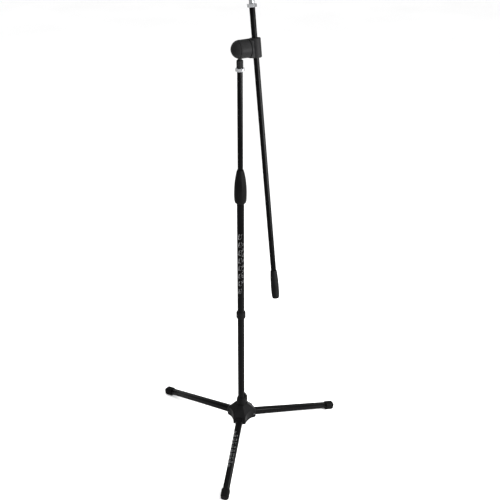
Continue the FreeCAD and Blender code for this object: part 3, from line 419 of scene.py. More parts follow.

# %% [markdown]
# ## Rules that repeat round an axis
# A thread, the flutes of a coupling nut and the lobes of a grip are all one idea: the surface of a turned
# piece goes in and out as the angle goes round. Geometry Nodes can do that to every point at once, from
# the angle and the height alone, with the sizes as the tree's inputs. Each piece keeps the result as a plain
# mesh.

# %% A small helper for node trees
class RingTree:
    """A geometry tree that moves a turned piece's points towards its axis."""

    def __init__(self, name, sizes):
        self.tree = bpy.data.node_groups.new(name, "GeometryNodeTree")
        face = self.tree.interface
        face.new_socket(name="Geometry", in_out="INPUT", socket_type="NodeSocketGeometry")
        for size in sizes:
            face.new_socket(name=size, in_out="INPUT", socket_type="NodeSocketFloat")
        face.new_socket(name="Finish", in_out="INPUT", socket_type="NodeSocketMaterial")
        face.new_socket(name="Geometry", in_out="OUTPUT", socket_type="NodeSocketGeometry")
        self.inlet = self.tree.nodes.new("NodeGroupInput").outputs
        self.outlet = self.tree.nodes.new("NodeGroupOutput").inputs
        spot = self.tree.nodes.new("GeometryNodeInputPosition").outputs["Position"]
        apart = self.add("ShaderNodeSeparateXYZ", Vector=spot)
        self.x, self.y, self.up = apart["X"], apart["Y"], apart["Z"]
        self.angle = self.sum("ARCTAN2", self.y, self.x)

    def add(self, kind, **links):
        node = self.tree.nodes.new(kind)
        for name, source in links.items():
            self.join(source, node.inputs[name.replace("_", " ")])
        return node.outputs

    def join(self, source, socket):
        if isinstance(source, bpy.types.NodeSocket):
            self.tree.links.new(source, socket)
        else:
            socket.default_value = source

    def sum(self, kind, *numbers):
        node = self.tree.nodes.new("ShaderNodeMath")
        node.operation = kind
        for number, socket in zip(numbers, node.inputs):
            self.join(number, socket)
        return node.outputs["Value"]

    def rise(self, number, start, stop):
        """A number that goes smoothly from 0 at start to 1 at stop."""
        node = self.tree.nodes.new("ShaderNodeMapRange")
        node.interpolation_type = "SMOOTHSTEP"
        for socket, source in (("Value", number), ("From Min", start), ("From Max", stop)):
            self.join(source, node.inputs[socket])
        return node.outputs["Result"]

    def sink(self, depth):
        """Move each point towards the axis by a depth, then end the tree."""
        straight = self.add("ShaderNodeCombineXYZ", X=self.x, Y=self.y)["Vector"]
        unit = self.tree.nodes.new("ShaderNodeVectorMath")
        unit.operation = "NORMALIZE"
        self.join(straight, unit.inputs[0])
        shift = self.tree.nodes.new("ShaderNodeVectorMath")
        shift.operation = "SCALE"
        self.join(unit.outputs["Vector"], shift.inputs[0])
        self.join(self.sum("MULTIPLY", depth, -1.0), shift.inputs["Scale"])
        inwards = shift.outputs["Vector"]
        moved = self.add("GeometryNodeSetPosition", Geometry=self.inlet["Geometry"], Offset=inwards)
        whole = self.add("GeometryNodeRealizeInstances", Geometry=moved["Geometry"])
        done = self.add("GeometryNodeSetMaterial", Geometry=whole["Geometry"], Material=self.inlet["Finish"])
        self.join(done["Geometry"], self.outlet["Geometry"])
        return self.tree


def grown(piece, tree, finish, **sizes):
    """Run a geometry tree on a piece and keep the result as its plain mesh."""
    modifier = piece.modifiers.new(tree.name, "NODES")
    modifier.node_group = tree
    for socket in tree.interface.items_tree:
        if socket.in_out == "INPUT" and socket.name.lower() in sizes:
            modifier[socket.identifier] = sizes[socket.name.lower()]
        if socket.in_out == "INPUT" and socket.name == "Finish":
            modifier[socket.identifier] = finish
    view = bpy.context.evaluated_depsgraph_get()
    mesh = bpy.data.meshes.new_from_object(piece.evaluated_get(view), depsgraph=view)
    piece.modifiers.clear()
    piece.data = mesh
    print(f"{tree.name}: {len(mesh.vertices)} points on {piece.name}")
    return piece


# %% The thread tree
def make_thread_tree():
    """A V-shaped groove that climbs by one pitch a turn and fades out at both ends."""
    ring = RingTree("screw_thread", ["Pitch", "Depth", "Start", "Stop"])
    pitch, start, stop = ring.inlet["Pitch"], ring.inlet["Start"], ring.inlet["Stop"]
    turns = ring.sum("DIVIDE", ring.up, pitch)
    phase = ring.sum("FRACT", ring.sum("SUBTRACT", turns, ring.sum("DIVIDE", ring.angle, 2 * math.pi)))
    slope = ring.sum("ABSOLUTE", ring.sum("SUBTRACT", ring.sum("MULTIPLY", phase, 2.0), 1.0))
    groove = ring.sum("MULTIPLY", ring.rise(slope, 0.1, 0.9), ring.inlet["Depth"])
    inside = ring.rise(ring.up, start, ring.sum("ADD", start, pitch))
    outside = ring.rise(ring.up, stop, ring.sum("SUBTRACT", stop, pitch))
    return ring.sink(ring.sum("MULTIPLY", groove, ring.sum("MULTIPLY", inside, outside)))


thread_tree = make_thread_tree()


# %% The flute tree
def make_flute_tree():
    """Even hollows round the piece. A higher narrowness leaves wider lands between them."""
    ring = RingTree("flutes", ["Count", "Depth", "Narrowness", "Start", "Stop", "Fade"])
    wave = ring.sum("COSINE", ring.sum("MULTIPLY", ring.angle, ring.inlet["Count"]))
    hollow = ring.sum("POWER", ring.sum("MULTIPLY_ADD", wave, 0.5, 0.5), ring.inlet["Narrowness"])
    start, stop, fade = ring.inlet["Start"], ring.inlet["Stop"], ring.inlet["Fade"]
    inside = ring.rise(ring.up, start, ring.sum("ADD", start, fade))
    outside = ring.rise(ring.up, stop, ring.sum("SUBTRACT", stop, fade))
    faded = ring.sum("MULTIPLY", hollow, ring.sum("MULTIPLY", inside, outside))
    return ring.sink(ring.sum("MULTIPLY", faded, ring.inlet["Depth"]))


flute_tree = make_flute_tree()

# %% [markdown]
# ## Tubes
# Two plain tubes make the mast and a third is the boom. A tube that has been cut and deburred has a small
# radius at each end, and that is what catches the light, so each tube is a ring profile with soft corners.

# %% The mast's two tubes and the boom's tube
def make_tube(name, node, place, body, radius, wall, low, high):
    line = softened([(radius - wall, low), (radius, low), (radius, high), (radius - wall, high)], 0.4 * MM)
    return fit(turned(name, line), place, body, "tube_paint", black_enamel, node)


LOWER_RADIUS = 11 * MM
UPPER_RADIUS = 8 * MM
BOOM_RADIUS = 8 * MM
THICK_WALL = 1.5 * MM
THIN_WALL = 1.2 * MM
BOOM_ABOVE = 106 * MM
BOOM_BELOW = 733 * MM
lower_bottom, lower_top = (corner.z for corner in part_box("lower_tube"))
upper_bottom, upper_top = (corner.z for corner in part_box("upper_tube"))
lower_sizes = (LOWER_RADIUS, THICK_WALL, lower_bottom, lower_top)
upper_sizes = (UPPER_RADIUS, THIN_WALL, upper_bottom, upper_top)
boom_sizes = (BOOM_RADIUS, THIN_WALL, -BOOM_BELOW, BOOM_ABOVE)
make_tube("lower_mast_tube", "lower_tube", MAST, "mast", *lower_sizes)
make_tube("upper_mast_tube", "upper_tube", MAST, "upper_mast", *upper_sizes)
make_tube("boom_arm_tube", "boom_tube", BOOM, "boom", *boom_sizes)

# %% [markdown]
# ## Threaded studs and lock nuts
# The microphone thread is a 5/8 inch thread with 27 turns to the inch. A real cut thread is a groove, so
# the stud starts as a plain cylinder with many rows of points, and the thread tree sinks the groove.

# %% Cut the two studs
THREAD_RADIUS = 7.95 * MM
THREAD_PITCH = 25.4 / 27 * MM
THREAD_DEPTH = 0.5 * MM
STUD_CHAMFER = 1.2 * MM


def make_stud(name, node, place, length, body):
    """A stud that stands upright from a tube's end. Eight rows of points to each turn carry the groove."""
    rows = round(length / THREAD_PITCH * 8)
    plain = length - STUD_CHAMFER
    side = [(THREAD_RADIUS, plain * row / rows) for row in range(rows + 1)]
    line = [(0, 0), *side, (THREAD_RADIUS - STUD_CHAMFER, length), (0, length)]
    sizes = {"pitch": THREAD_PITCH, "depth": THREAD_DEPTH, "start": 0.3 * MM, "stop": length}
    stud = grown(turned(name, line, 72), thread_tree, chrome, **sizes)
    return fit(stud, place, body, "chrome", chrome, node)


BOOM_STUD = BOOM @ Matrix.Translation((0, 0, BOOM_ABOVE))
MAST_STUD = MAST @ Matrix.Translation((0, 0, upper_top))
BOOM_STUD_LENGTH = 36 * MM
mast_stud_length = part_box("mast_stud")[1].z - upper_top
make_stud("boom_thread_stud", "boom_stud", BOOM_STUD, BOOM_STUD_LENGTH, "boom")
make_stud("mast_thread_stud", "mast_stud", MAST_STUD, mast_stud_length, "upper_mast")

# %% [markdown]
# A hexagon nut is sawn from bar and then chamfered on a lathe, and the chamfer leaves a curved arc on each
# flat. The same two cuts as a formula give the same arcs: a point's radius is the smaller of the
# hexagon's and the cone's. A soft minimum also rounds the edges a little. A lock nut stops wherever the
# hand leaves it, so the mast's nut stands a few degrees round from the boom's.

# %% Chamfered hexagon nuts
NUT_FLATS = 23 * MM
NUT_HEIGHT = 9 * MM
NUT_CHAMFER = 1.2 * MM
NUT_SIDES = 180
RUNNING_GAP = 0.06 * MM


def soft_least(values, softness):
    """The least of some lengths, rounded where two of them cross."""
    return -softness * math.log(sum(math.exp(-value / softness) for value in values))


def nut_radius(angle, up):
    corner = NUT_FLATS / 2 / math.cos(math.pi / 6)
    hexagon = NUT_FLATS / 2 / math.cos((angle + math.pi / 6) % (math.pi / 3) - math.pi / 6)
    cone = corner - NUT_CHAMFER + 2 * min(up, NUT_HEIGHT - up)
    return soft_least((hexagon, cone), 0.12 * MM)


def make_nut(name, node, place, body):
    """A lock nut that is free to turn: faces, flats, and a bore with a small countersink."""
    bore = THREAD_RADIUS + RUNNING_GAP
    sink = 0.6 * MM
    levels = [0, 0.1, 0.25, 0.45, 0.7, 1.0, 1.5, 3.0, 4.5]
    heights = [level * MM for level in levels] + [NUT_HEIGHT - level * MM for level in levels[-2::-1]]
    angles = [2 * math.pi * side / NUT_SIDES for side in range(NUT_SIDES)]
    rings = []
    for radius, up in ((bore, sink), (bore + sink, 0.0)):
        rings.append([(radius * math.cos(a), radius * math.sin(a), up) for a in angles])
    for up in heights:
        radii = [nut_radius(angle, up) for angle in angles]
        rings.append([(r * math.cos(a), r * math.sin(a), up) for r, a in zip(radii, angles)])
    for radius, up in ((bore + sink, NUT_HEIGHT), (bore, NUT_HEIGHT - sink)):
        rings.append([(radius * math.cos(a), radius * math.sin(a), up) for a in angles])
    return fit(skin(name, rings, loop=True), place, body, "chrome", chrome, node)


NUT_GAP = Matrix.Translation((0, 0, 0.4 * MM))
LEFT_TURNED = Matrix.Rotation(math.radians(-7), 4, "Z")
make_nut("boom_hex_nut", "boom_nut", BOOM_STUD @ NUT_GAP, "boom_lock_nut")
make_nut("mast_hex_nut", "mast_nut", MAST_STUD @ NUT_GAP @ LEFT_TURNED, "mast_lock_nut")

# %% [markdown]
# ## The coupling nut
# Below the clutch is a round nut with twelve flutes for the fingers. Cutting twelve cylinders with a
# boolean would work, but the flute tree gives the same hollows on a clean grid of points.

# %% The coupling nut
coupling_foot, coupling_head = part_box("coupling_nut")
COUPLING_RADIUS = 9.5 * MM
COUPLING_HEIGHT = coupling_head.z - coupling_foot.z
FLUTES = 12


def make_coupling():
    bore = THREAD_RADIUS + RUNNING_GAP
    neck = 5.7 * MM
    cap_underside = COUPLING_HEIGHT - 4.4 * MM
    rows = 40
    foot = rounded_corner((bore, 0), (COUPLING_RADIUS - 0.2 * MM, 0), (COUPLING_RADIUS, 1.4 * MM), 0.8 * MM)
    side_top = COUPLING_HEIGHT - 2.8 * MM
    side = [(COUPLING_RADIUS, 2 * MM + (side_top - 2 * MM) * row / rows) for row in range(rows + 1)]
    shoulder = []
    for step in range(1, 9):
        angle = math.pi / 2 * step / 8
        swing = COUPLING_RADIUS - 2.6 * MM * (1 - math.cos(angle))
        shoulder.append((swing, side_top + 2.8 * MM * math.sin(angle)))
    inside = [(neck, COUPLING_HEIGHT), (neck, cap_underside), (bore, cap_underside)]
    line = [(bore, 0), *foot, *side, *shoulder, *inside]
    barrel = turned("fluted_coupling", line, 192)
    sizes = {"count": FLUTES, "depth": 0.9 * MM, "narrowness": 2.2, "fade": 2 * MM}
    return grown(barrel, flute_tree, painted_light_nylon, start=1.6 * MM, stop=COUPLING_HEIGHT - 1.0 * MM, **sizes)


COUPLING = MAST @ Matrix.Translation((0, 0, coupling_foot.z))
fit(make_coupling(), COUPLING, "coupling", "moulded_black", painted_light_nylon, "coupling_nut")

# %% [markdown]
# ## The height grip
# The egg-shaped grip turns on a thread and squeezes the inner tube. Its rubber skin has shallow lobes for
# the hand. The outline is a long arc that rises from the widest place, and a short, tight curve below it.

# %% Draw an arc between two places of a profile
def bulge(start, stop, rows, level_end):
    """Points from start to stop on an arc that is upright at one end, given as 'start' or 'stop'."""
    (low_radius, low), (high_radius, high) = start, stop
    points = []
    for row in range(rows + 1):
        share = row / rows
        away = share if level_end == "start" else 1 - share
        arc = 1 - math.sqrt(max(0.0, 1 - away**2 * 0.64))
        full = 1 - math.sqrt(1 - 0.64)
        wide, narrow = (low_radius, high_radius) if level_end == "start" else (high_radius, low_radius)
        points.append((wide - (wide - narrow) * arc / full, low + (high - low) * share))
    return points


# %% The height grip
grip_foot, grip_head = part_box("height_grip")


def make_height_grip():
    length = grip_head.z - grip_foot.z
    foot = [(14.4, 0), (15.2, 0.3), (16.1, 1.2), (16.9, 2.8), (17.6, 5.2), (18.2, 9), (18.7, 14), (19.0, 20)]
    below = [(across * MM, up * MM) for across, up in foot]
    above = bulge((19.2 * MM, 28 * MM), (10.0 * MM, length - 0.8 * MM), 48, "start")
    mouth = [(13.9 * MM, 1.2 * MM), (13.9 * MM, 0.5 * MM)]
    lip = [(9.8 * MM, length - 0.2 * MM), (9.4 * MM, length)]
    lip += [(8.9 * MM, length), (8.8 * MM, length - 0.6 * MM)]
    inside = [(8.8 * MM, 82 * MM), (13.9 * MM, 62 * MM)]
    shell = turned("height_clutch_grip", [*mouth, *below, *above, *lip, *inside], 144)
    sizes = {"count": 8, "depth": 0.55 * MM, "narrowness": 0.8, "start": 3 * MM, "fade": 22 * MM}
    return grown(shell, flute_tree, grip_rubber, stop=length, **sizes)


HEIGHT_GRIP = MAST @ Matrix.Translation((0, 0, grip_foot.z))
fit(make_height_grip(), HEIGHT_GRIP, "height_clutch", "grip_rubber", grip_rubber, "height_grip")

# %% [markdown]
# ## The boom's end grip
# The grip at the boom's lower end is a long moulded sleeve with a closed, rounded end. It has the same
# construction as the height grip, but it is slimmer and its lobes are fainter.

# %% The boom grip
def make_boom_grip():
    length = 88 * MM
    cap = [(0, 0), (5 * MM, 0), (8.2 * MM, 0.05 * MM), (9.5 * MM, 0.6 * MM), (10.3 * MM, 1.7 * MM)]
    below = bulge((10.75 * MM, 3 * MM), (12.2 * MM, 28 * MM), 16, "stop")
    above = bulge((12.2 * MM, 28 * MM), (9.4 * MM, length - 0.5 * MM), 34, "start")[1:]
    mouth = [(9.1 * MM, length), (8.3 * MM, length), (BOOM_RADIUS, length - 0.5 * MM), (BOOM_RADIUS, 6 * MM)]
    shell = turned("boom_end_grip", [*cap, *below, *above, *mouth, (0, 6 * MM)], 120)
    sizes = {"count": 8, "depth": 0.3 * MM, "narrowness": 0.8, "start": 3 * MM, "fade": 14 * MM}
    return grown(shell, flute_tree, grip_rubber, stop=length, **sizes)


BOOM_GRIP = BOOM @ Matrix.Translation((0, 0, -BOOM_BELOW - 6 * MM))
fit(make_boom_grip(), BOOM_GRIP, "boom", "grip_rubber", grip_rubber, "boom_grip")

# %% [markdown]
# ## The boom clutch
# A knob, a drum and the boom holder sit on one bolt. The knob and the drum together make a ball that runs
# into a drum, so both are turned about the bolt's axis. Only a fine slit shows where they meet.

# %% The knob and the drum
BALL_RADIUS = 25.5 * MM
KNOB_FACE = -7.7 * MM
HOUSING_BACK = -7.2 * MM
HOUSING_FRONT = 24.6 * MM


def ball_arc(start, stop, rows):
    """Points on the ball between two places along the bolt."""
    first, last = math.asin(start / BALL_RADIUS), math.asin(stop / BALL_RADIUS)
    angles = [first + (last - first) * row / rows for row in range(rows + 1)]
    return [(BALL_RADIUS * math.cos(angle), BALL_RADIUS * math.sin(angle)) for angle in angles]


def make_knob():
    dome = ball_arc(-BALL_RADIUS, KNOB_FACE - 0.6 * MM, 40)[1:]
    rim = [(dome[-1][0] - 0.1 * MM, KNOB_FACE - 0.15 * MM), (dome[-1][0] - 0.6 * MM, KNOB_FACE)]
    face = [(4.1 * MM, KNOB_FACE), (0, KNOB_FACE)]
    return turned("clutch_hand_knob", [(0, -BALL_RADIUS), *dome, *rim, *face], 128)


def make_drum():
    slice_of_ball = ball_arc(HOUSING_BACK + 0.5 * MM, 0, 8)
    back = [(0, HOUSING_BACK), (slice_of_ball[0][0] - 0.6 * MM, HOUSING_BACK)]
    flat = (20 * MM, HOUSING_FRONT)
    front = rounded_corner((BALL_RADIUS, 0), (BALL_RADIUS, HOUSING_FRONT), flat, 1.5 * MM, 6)
    return turned("clutch_drum", [*back, *slice_of_ball, *front, (0, HOUSING_FRONT)], 128)


# the knob, drum, stem and holder take the black nylon that is painted lighter as painted light
fit(make_knob(), CLUTCH, "tension_knob", "moulded_black", painted_light_nylon, "clutch_knob")
fit(make_drum(), CLUTCH, "upper_mast", "moulded_black", painted_light_nylon, "clutch_housing")

# %% The drum's stem
stem_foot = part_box("clutch_housing")[0].z
STEM_RADIUS = 5.4 * MM
STEM_DISC_RADIUS = 7.6 * MM
STEM_DISC_HEIGHT = 2 * MM
STEM = Matrix.Translation((mast_foot.x, mast_foot.y, 0))
stem_root = CLUTCH.translation.z - BALL_RADIUS + 6 * MM
stem_line = [
    (0, stem_foot),
    (STEM_DISC_RADIUS, stem_foot),
    (STEM_DISC_RADIUS, stem_foot + STEM_DISC_HEIGHT),
    (STEM_RADIUS, stem_foot + STEM_DISC_HEIGHT),
    (STEM_RADIUS, stem_root),
    (0, stem_root),
]
stem = turned("clutch_stem", softened(stem_line, 0.3 * MM), 72)
fit(stem, STEM, "upper_mast", "moulded_black", painted_light_nylon)

# %% [markdown]
# The boom holder is one moulding: a disc that faces the drum, a web and a sleeve round the boom. No single
# rule gives that shape, so its mesh is a merged copy of the frame's own node with its edges rounded.

# %% The boom holder
holder = moulded_copy("boom_holder", 0.9 * MM)
fit(holder, Matrix(), "boom_clamp", "moulded_black", painted_light_nylon, "boom_holder")

# %% [markdown]
# ## The hub
# The hub is the most complex moulding. It has three forks, a faceted dome, a neck and a boss for the clamp
# screw. Like the holder it is a copy of its node, with larger rounded edges as moulds have.

# %% The hub and the heel plugs
fit(moulded_copy("hub", 0.7 * MM), Matrix(), "hub_slider", "moulded_black", black_nylon, "hub")
SIDES = ("front", "right", "left")
for side in SIDES:
    heel = moulded_copy(f"leg_heel_{side}", 0.5 * MM)
    fit(heel, Matrix(), f"{side}_leg", "moulded_black", black_nylon, f"leg_heel_{side}")

# %% [markdown]
# ## Legs and feet
# A leg is a square tube with large corner radii, and it tapers towards the foot. The rubber boot has the
# same section and is a little larger. Rings of rounded squares along the leg's axis make both.

# %% Rounded squares along a leg
def rounded_square(x, width, height, radius, steps=10):
    """A ring of points across a leg at a distance from its pin."""
    ring = []
    for quarter, (side_y, side_z) in enumerate(((1, 1), (-1, 1), (-1, -1), (1, -1))):
        for step in range(steps + 1):
            angle = math.pi / 2 * (quarter + step / steps)
            y = side_y * (width / 2 - radius) + radius * math.cos(angle)
            z = side_z * (height / 2 - radius) + radius * math.sin(angle)
            ring.append((x, y, z))
    return ring


LEG_START = 9 * MM
LEG_STOP = 302 * MM
LEG_CORNER = 8 * MM


def leg_size(x):
    """The tapered leg's width and height at a distance from its pin."""
    share = (x - LEG_START) / (LEG_STOP - LEG_START)
    return (22 - share) * MM, (24 - 4 * share) * MM


def make_leg(side):
    rings = []
    for x, inset in ((LEG_START, 0.3 * MM), (LEG_START + 0.3 * MM, 0), (LEG_STOP, 0)):
        width, height = leg_size(x)
        rings.append(rounded_square(x, width - 2 * inset, height - 2 * inset, LEG_CORNER - inset))
    return skin(f"{side}_leg_tube", rings)


# %% [markdown]
# The boot ends in a round toe and has three grip rings near its mouth. Its underside is thicker than its
# top, and flat where it stands: every point that would be below the floor is lifted to it.

# %% Rubber boots
BOOT_START = 278.6 * MM
BOOT_STOP = 308.4 * MM
BOOT_WIDTH = 26 * MM
BOOT_HEIGHT = 25 * MM
THICKER_SOLE = 0.8 * MM
TOE = 6.5 * MM


def boot_rings():
    """Distance from the pin and inset from the boot's full size, for each ring of the boot."""
    rings = [(BOOT_START, 1.3 * MM), (BOOT_START + 0.2 * MM, 0.6 * MM), (BOOT_START + 0.9 * MM, 0.1 * MM)]
    for groove in (4.2 * MM, 7.6 * MM, 11.0 * MM):
        for along, inset in ((-1.0, 0.0), (-0.55, 0.15), (0.0, 0.65), (0.55, 0.15), (1.0, 0.0)):
            rings.append((BOOT_START + groove + along * MM, inset * MM))
    for step in range(9):
        angle = math.pi / 2 * step / 8
        rings.append((BOOT_STOP - TOE * (1 - math.sin(angle)), TOE * (1 - math.cos(angle)) * 0.85))
    return rings


def make_boot(side):
    rings = []
    for x, inset in boot_rings():
        width, height = BOOT_WIDTH - 2 * inset, BOOT_HEIGHT - 2 * inset
        rings.append(rounded_square(x, width, height, LEG_CORNER - inset))
    boot = skin(f"{side}_rubber_boot", rings)
    boot.data.transform(leg_place(side) @ Matrix.Translation((0, 0, -THICKER_SOLE)))
    for vertex in boot.data.vertices:
        vertex.co.z = max(vertex.co.z, 0)
    return boot


for side in SIDES:
    fit(make_leg(side), leg_place(side), f"{side}_leg", "tube_paint", black_enamel, f"leg_{side}")
    fit(make_boot(side), Matrix(), f"{side}_leg", "foot_rubber", foot_rubber, f"foot_{side}")

# %% [markdown]
# ## Pins, stop ring and end plug
# The leg pins have slightly domed ends. The stop ring keeps the hub from sliding up too far, and the plug
# closes the mast's lower end.

# %% Leg pins
PIN_RADIUS = 3 * MM
PIN_HALF = 19 * MM
for side in SIDES:
    axis = Vector(joints[f"{side}_leg_fold"]["axis"])
    place = place_of(joints[f"{side}_leg_fold"]["pos_m"], DOWN, axis)
    ends = [(0, -PIN_HALF), (1.6 * MM, -PIN_HALF + 0.1 * MM), (2.6 * MM, -PIN_HALF + 0.5 * MM)]
    half = [*ends, (PIN_RADIUS, -PIN_HALF + 1.1 * MM)]
    line = half + [(radius, -up) for radius, up in reversed(half)]
    pin = turned(f"{side}_leg_pin", line, 40)
    fit(pin, place, "hub_slider", "zinc_steel", zinc, f"leg_pin_{side}")

# %% The stop ring and the plug
ring_foot, ring_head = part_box("stop_ring")
COLLAR_RADIUS = 14.75 * MM
LOWER_CHAMFER = 1.25 * MM
UPPER_CHAMFER = 2.5 * MM
collar = [
    (LOWER_RADIUS, ring_foot.z),
    (COLLAR_RADIUS - LOWER_CHAMFER, ring_foot.z),
    (COLLAR_RADIUS, ring_foot.z + LOWER_CHAMFER),
    (COLLAR_RADIUS, ring_head.z - UPPER_CHAMFER),
    (COLLAR_RADIUS - UPPER_CHAMFER, ring_head.z),
    (LOWER_RADIUS, ring_head.z),
]
stop_collar = turned("stop_collar", softened(collar, 0.8 * MM))
fit(stop_collar, MAST, "mast", "moulded_black", black_nylon, "stop_ring")
plug_foot, plug_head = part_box("tube_plug")
FLANGE_RADIUS = 20 * MM
FLANGE_RIM = 4 * MM
SPIGOT_RADIUS = 9.4 * MM
plug_line = [
    (0, plug_foot.z),
    (FLANGE_RADIUS, plug_foot.z),
    (FLANGE_RADIUS, plug_foot.z + FLANGE_RIM),
    (LOWER_RADIUS, lower_bottom),
    (SPIGOT_RADIUS, lower_bottom),
    (SPIGOT_RADIUS, plug_head.z),
    (0, plug_head.z),
]
plug = turned("mast_end_plug", softened(plug_line, 0.8 * MM))
fit(plug, MAST, "mast", "moulded_black", black_nylon, "tube_plug")

# %% [markdown]
# ## Small pieces that keep their own shape
# Bushes, washers and screws are already right in the frame. They only need their finishes, and a finish is
# given by filling the material slots of the frame's own object.

# %% Dress the pieces that stay
dressed = {
    grey_acetal: ("hub_liner", "tube_guide", "sleeve_liner", "height_collet"),
    painted_light_nylon: ("clutch_sleeve",),
    black_oxide: ("hub_clamp_screw", "stop_ring_screw"),
    zinc: ("thrust_washer", "clutch_bolt"),
    brass: ("knob_insert",),
    pressed_fibre: ("friction_disc",),
}
for finish, nodes in dressed.items():
    for node in nodes:
        frame["nodes"][node].data.materials.clear()
        frame["nodes"][node].data.materials.append(finish)
print(sum(len(nodes) for nodes in dressed.values()), "pieces dressed")

# %% [markdown]
# ## Printed marks
# Two rows of slanted outlines are printed on the lower tube and two on the front leg. The tree draws one
# outline, repeats it along a line, and then wraps the flat row round a tube, as a transfer is rolled on.
# The leg has no round tube, but each of its upper corners is a quarter of one, so its rows wrap there.

# %% The tree of a printed row
INK_THICKNESS = 0.06 * MM


def make_print_tree():
    tree = bpy.data.node_groups.new("printed_row", "GeometryNodeTree")
    face = tree.interface
    face.new_socket(name="Count", in_out="INPUT", socket_type="NodeSocketInt")
    for size in ("Pitch", "Width", "Height", "Slant", "Line", "Radius"):
        face.new_socket(name=size, in_out="INPUT", socket_type="NodeSocketFloat")
    face.new_socket(name="Finish", in_out="INPUT", socket_type="NodeSocketMaterial")
    face.new_socket(name="Geometry", in_out="OUTPUT", socket_type="NodeSocketGeometry")
    inlet = tree.nodes.new("NodeGroupInput").outputs
    outlet = tree.nodes.new("NodeGroupOutput").inputs
    link = tree.links.new

    def maths(kind, first, second):
        node = tree.nodes.new("ShaderNodeMath")
        node.operation = kind
        for source, socket in ((first, node.inputs[0]), (second, node.inputs[1])):
            if isinstance(source, float):
                socket.default_value = source
            else:
                link(source, socket)
        return node.outputs["Value"]

    outline = tree.nodes.new("GeometryNodeCurvePrimitiveQuadrilateral")
    outline.mode = "PARALLELOGRAM"
    link(inlet["Width"], outline.inputs["Width"])
    link(inlet["Height"], outline.inputs["Height"])
    link(inlet["Slant"], outline.inputs["Offset"])
    stroke = tree.nodes.new("GeometryNodeCurvePrimitiveQuadrilateral")
    stroke.inputs["Width"].default_value = INK_THICKNESS
    link(inlet["Line"], stroke.inputs["Height"])
    drawn = tree.nodes.new("GeometryNodeCurveToMesh")
    link(outline.outputs["Curve"], drawn.inputs["Curve"])
    link(stroke.outputs["Curve"], drawn.inputs["Profile Curve"])
    row = tree.nodes.new("GeometryNodeMeshLine")
    link(inlet["Count"], row.inputs["Count"])
    step = tree.nodes.new("ShaderNodeCombineXYZ")
    link(inlet["Pitch"], step.inputs["Y"])
    link(step.outputs["Vector"], row.inputs["Offset"])
    repeated = tree.nodes.new("GeometryNodeInstanceOnPoints")
    link(row.outputs["Mesh"], repeated.inputs["Points"])
    link(drawn.outputs["Mesh"], repeated.inputs["Instance"])
    whole = tree.nodes.new("GeometryNodeRealizeInstances")
    link(repeated.outputs["Instances"], whole.inputs["Geometry"])

    spot = tree.nodes.new("GeometryNodeInputPosition")
    apart = tree.nodes.new("ShaderNodeSeparateXYZ")
    link(spot.outputs["Position"], apart.inputs["Vector"])
    angle = maths("DIVIDE", apart.outputs["X"], inlet["Radius"])
    reach = maths("ADD", inlet["Radius"], apart.outputs["Z"])
    wrapped = tree.nodes.new("ShaderNodeCombineXYZ")
    across = maths("MULTIPLY", maths("SINE", angle, 0.0), reach)
    facing = maths("MULTIPLY", maths("COSINE", angle, 0.0), reach)
    link(across, wrapped.inputs["X"])
    link(maths("SUBTRACT", inlet["Radius"], facing), wrapped.inputs["Y"])
    link(apart.outputs["Y"], wrapped.inputs["Z"])
    rolled = tree.nodes.new("GeometryNodeSetPosition")
    link(whole.outputs["Geometry"], rolled.inputs["Geometry"])
    link(wrapped.outputs["Vector"], rolled.inputs["Position"])
    inked = tree.nodes.new("GeometryNodeSetMaterial")
    link(rolled.outputs["Geometry"], inked.inputs["Geometry"])
    link(inlet["Finish"], inked.inputs["Material"])
    link(inked.outputs["Geometry"], outlet["Geometry"])
    return tree


print_tree = make_print_tree()


# %% Print the rows
def print_row(name, place, body, **sizes):
    """A row that stands upright at the origin, facing -Y, carried to its place."""
    sheet = bpy.data.objects.new(name, bpy.data.meshes.new(name))
    bpy.context.scene.collection.objects.link(sheet)
    return fit(grown(sheet, print_tree, worn_ink, **sizes), place, body, "tube_paint", worn_ink)


def on_lower_tube(turn, height):
    """A place on the lower tube's skin, at an angle about the mast and a height above the floor."""
    spin = Matrix.Rotation(math.radians(turn + 90), 4, "Z")
    level = Matrix.Translation((mast_foot.x, mast_foot.y, height))
    return level @ spin @ Matrix.Translation((0, -LOWER_RADIUS, 0))


def on_leg_top(reach, lean):
    """A place on an upper corner of the front leg, some way from its pin and at an angle round the corner."""
    width, height = leg_size(reach)
    side = math.copysign(width / 2 - LEG_CORNER, -lean)
    taper = 2 * MM / (LEG_STOP - LEG_START)
    corner = Matrix.Translation((reach, side, height / 2 - LEG_CORNER))
    spin = Matrix.Rotation(math.radians(lean), 4, "X")
    return leg_place("front") @ corner @ spin @ place_of((0, 0, LEG_CORNER), (0, -1, 0), (1, 0, -taper))


large = {"width": 7.2 * MM, "height": 15 * MM, "slant": 1.8 * MM, "line": 2.0 * MM, "radius": LOWER_RADIUS}
small = {"width": 4 * MM, "height": 8 * MM, "slant": 1.2 * MM, "line": 1.5 * MM, "radius": LOWER_RADIUS}
print_row("large_mast_marks", on_lower_tube(-90, 0.5495), "mast", count=8, pitch=26.8 * MM, **large)
print_row("small_mast_marks", on_lower_tube(-42, 0.583), "mast", count=8, pitch=18.3 * MM, **small)
wide = {"width": 5.5 * MM, "height": 7 * MM, "slant": 1.2 * MM, "line": 1.8 * MM, "radius": LEG_CORNER}
slim = {"width": 3 * MM, "height": 5 * MM, "slant": 0.8 * MM, "line": 1.3 * MM, "radius": LEG_CORNER}
print_row("wide_leg_marks", on_leg_top(0.06, 12), "front_leg", count=10, pitch=15 * MM, **wide)
print_row("slim_leg_marks", on_leg_top(0.075, -10), "front_leg", count=8, pitch=15 * MM, **slim)

# %% [markdown]
# ## Floor, light and camera
# The stand is shown on a plain white floor. A vertical tube that is seen from above mirrors the floor and
# what stands lower than the camera, so its gleam comes from a wide softbox on the right, below the
# camera's height. A large softbox overhead lifts the dark pieces off black.

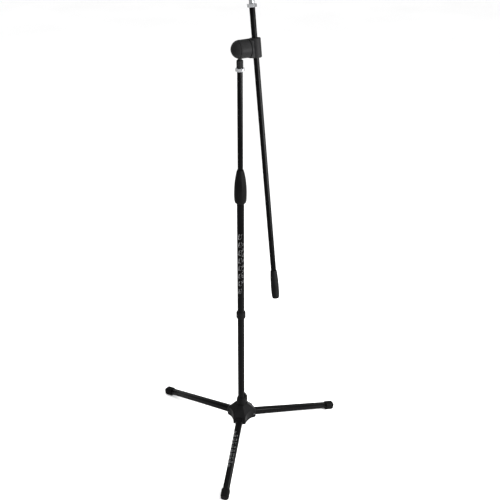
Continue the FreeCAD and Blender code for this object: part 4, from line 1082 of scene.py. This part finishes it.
# %% The floor and the surroundings
def make_floor():
    floor_paint, shader, place = new_finish("white_floor", specular=0.2)
    patches = grain(floor_paint, place, 1.5, 3)
    colour = mixed(floor_paint, between(floor_paint, patches, 0, 1), (0.9, 0.9, 0.9), (0.93, 0.93, 0.93))
    paint(floor_paint, shader, colour, between(floor_paint, patches, 0.75, 0.85), patches, 0.1 * MM, 0.1)
    half = 30
    corners = [(-half, -half, 0), (half, -half, 0), (half, half, 0), (-half, half, 0)]
    floor = skin("studio_floor", [corners, [(0, 0, -half)]])
    floor.data.materials.append(floor_paint)


ROOM_LIGHT = 1.18
make_floor()
scene = bpy.context.scene
scene.view_settings.view_transform = "Standard"
scene.world = bpy.data.worlds.new("studio")
scene.world.use_nodes = True
room = scene.world.node_tree.nodes["Background"].inputs
room["Color"].default_value = (1, 1, 1, 1)
room["Strength"].default_value = ROOM_LIGHT


# %% Softboxes
def softbox(name, width, height, watts, spot, aim):
    lamp = bpy.data.lights.new(name, "AREA")
    lamp.shape = "RECTANGLE"
    lamp.size, lamp.size_y = width, height
    lamp.energy = watts
    box = bpy.data.objects.new(name, lamp)
    turn = (Vector(aim) - Vector(spot)).to_track_quat("-Z", "Y").to_matrix().to_4x4()
    box.matrix_world = Matrix.Translation(spot) @ turn
    box.visible_camera = False
    scene.collection.objects.link(box)


softbox("overhead", 3.0, 3.0, 40, (0.3, -0.4, 3.6), (0.0, 0.1, 0.0))
softbox("key_right", 1.3, 0.8, 105, (1.4, -0.46, 1.06), (0.0, 0.08, 1.06))


# %% The camera
def stand_camera(turn, distance, height, sideways, yaw, tilt, roll, lens):
    """A camera in front of the mast, turned round it by an angle, and looking down at it."""
    level = Matrix.Rotation(math.radians(turn), 4, "Z") @ Matrix.Translation((sideways, -distance, height))
    look = Matrix.Rotation(-math.radians(yaw), 4, "Z") @ Matrix.Rotation(math.radians(90 - tilt), 4, "X")
    camera = bpy.data.objects.new("camera", bpy.data.cameras.new("camera"))
    camera.data.lens = lens
    camera.matrix_world = MAST @ level @ look @ Matrix.Rotation(math.radians(roll), 4, "Z")
    scene.collection.objects.link(camera)
    scene.camera = camera


stand_camera(
    turn=8.83,
    distance=2.45,
    height=1.981,
    sideways=0.0034,
    yaw=0.58,
    tilt=27.83,
    roll=0.06,
    lens=65.92,
)
print("camera at", tuple(round(c, 3) for c in scene.camera.matrix_world.translation))
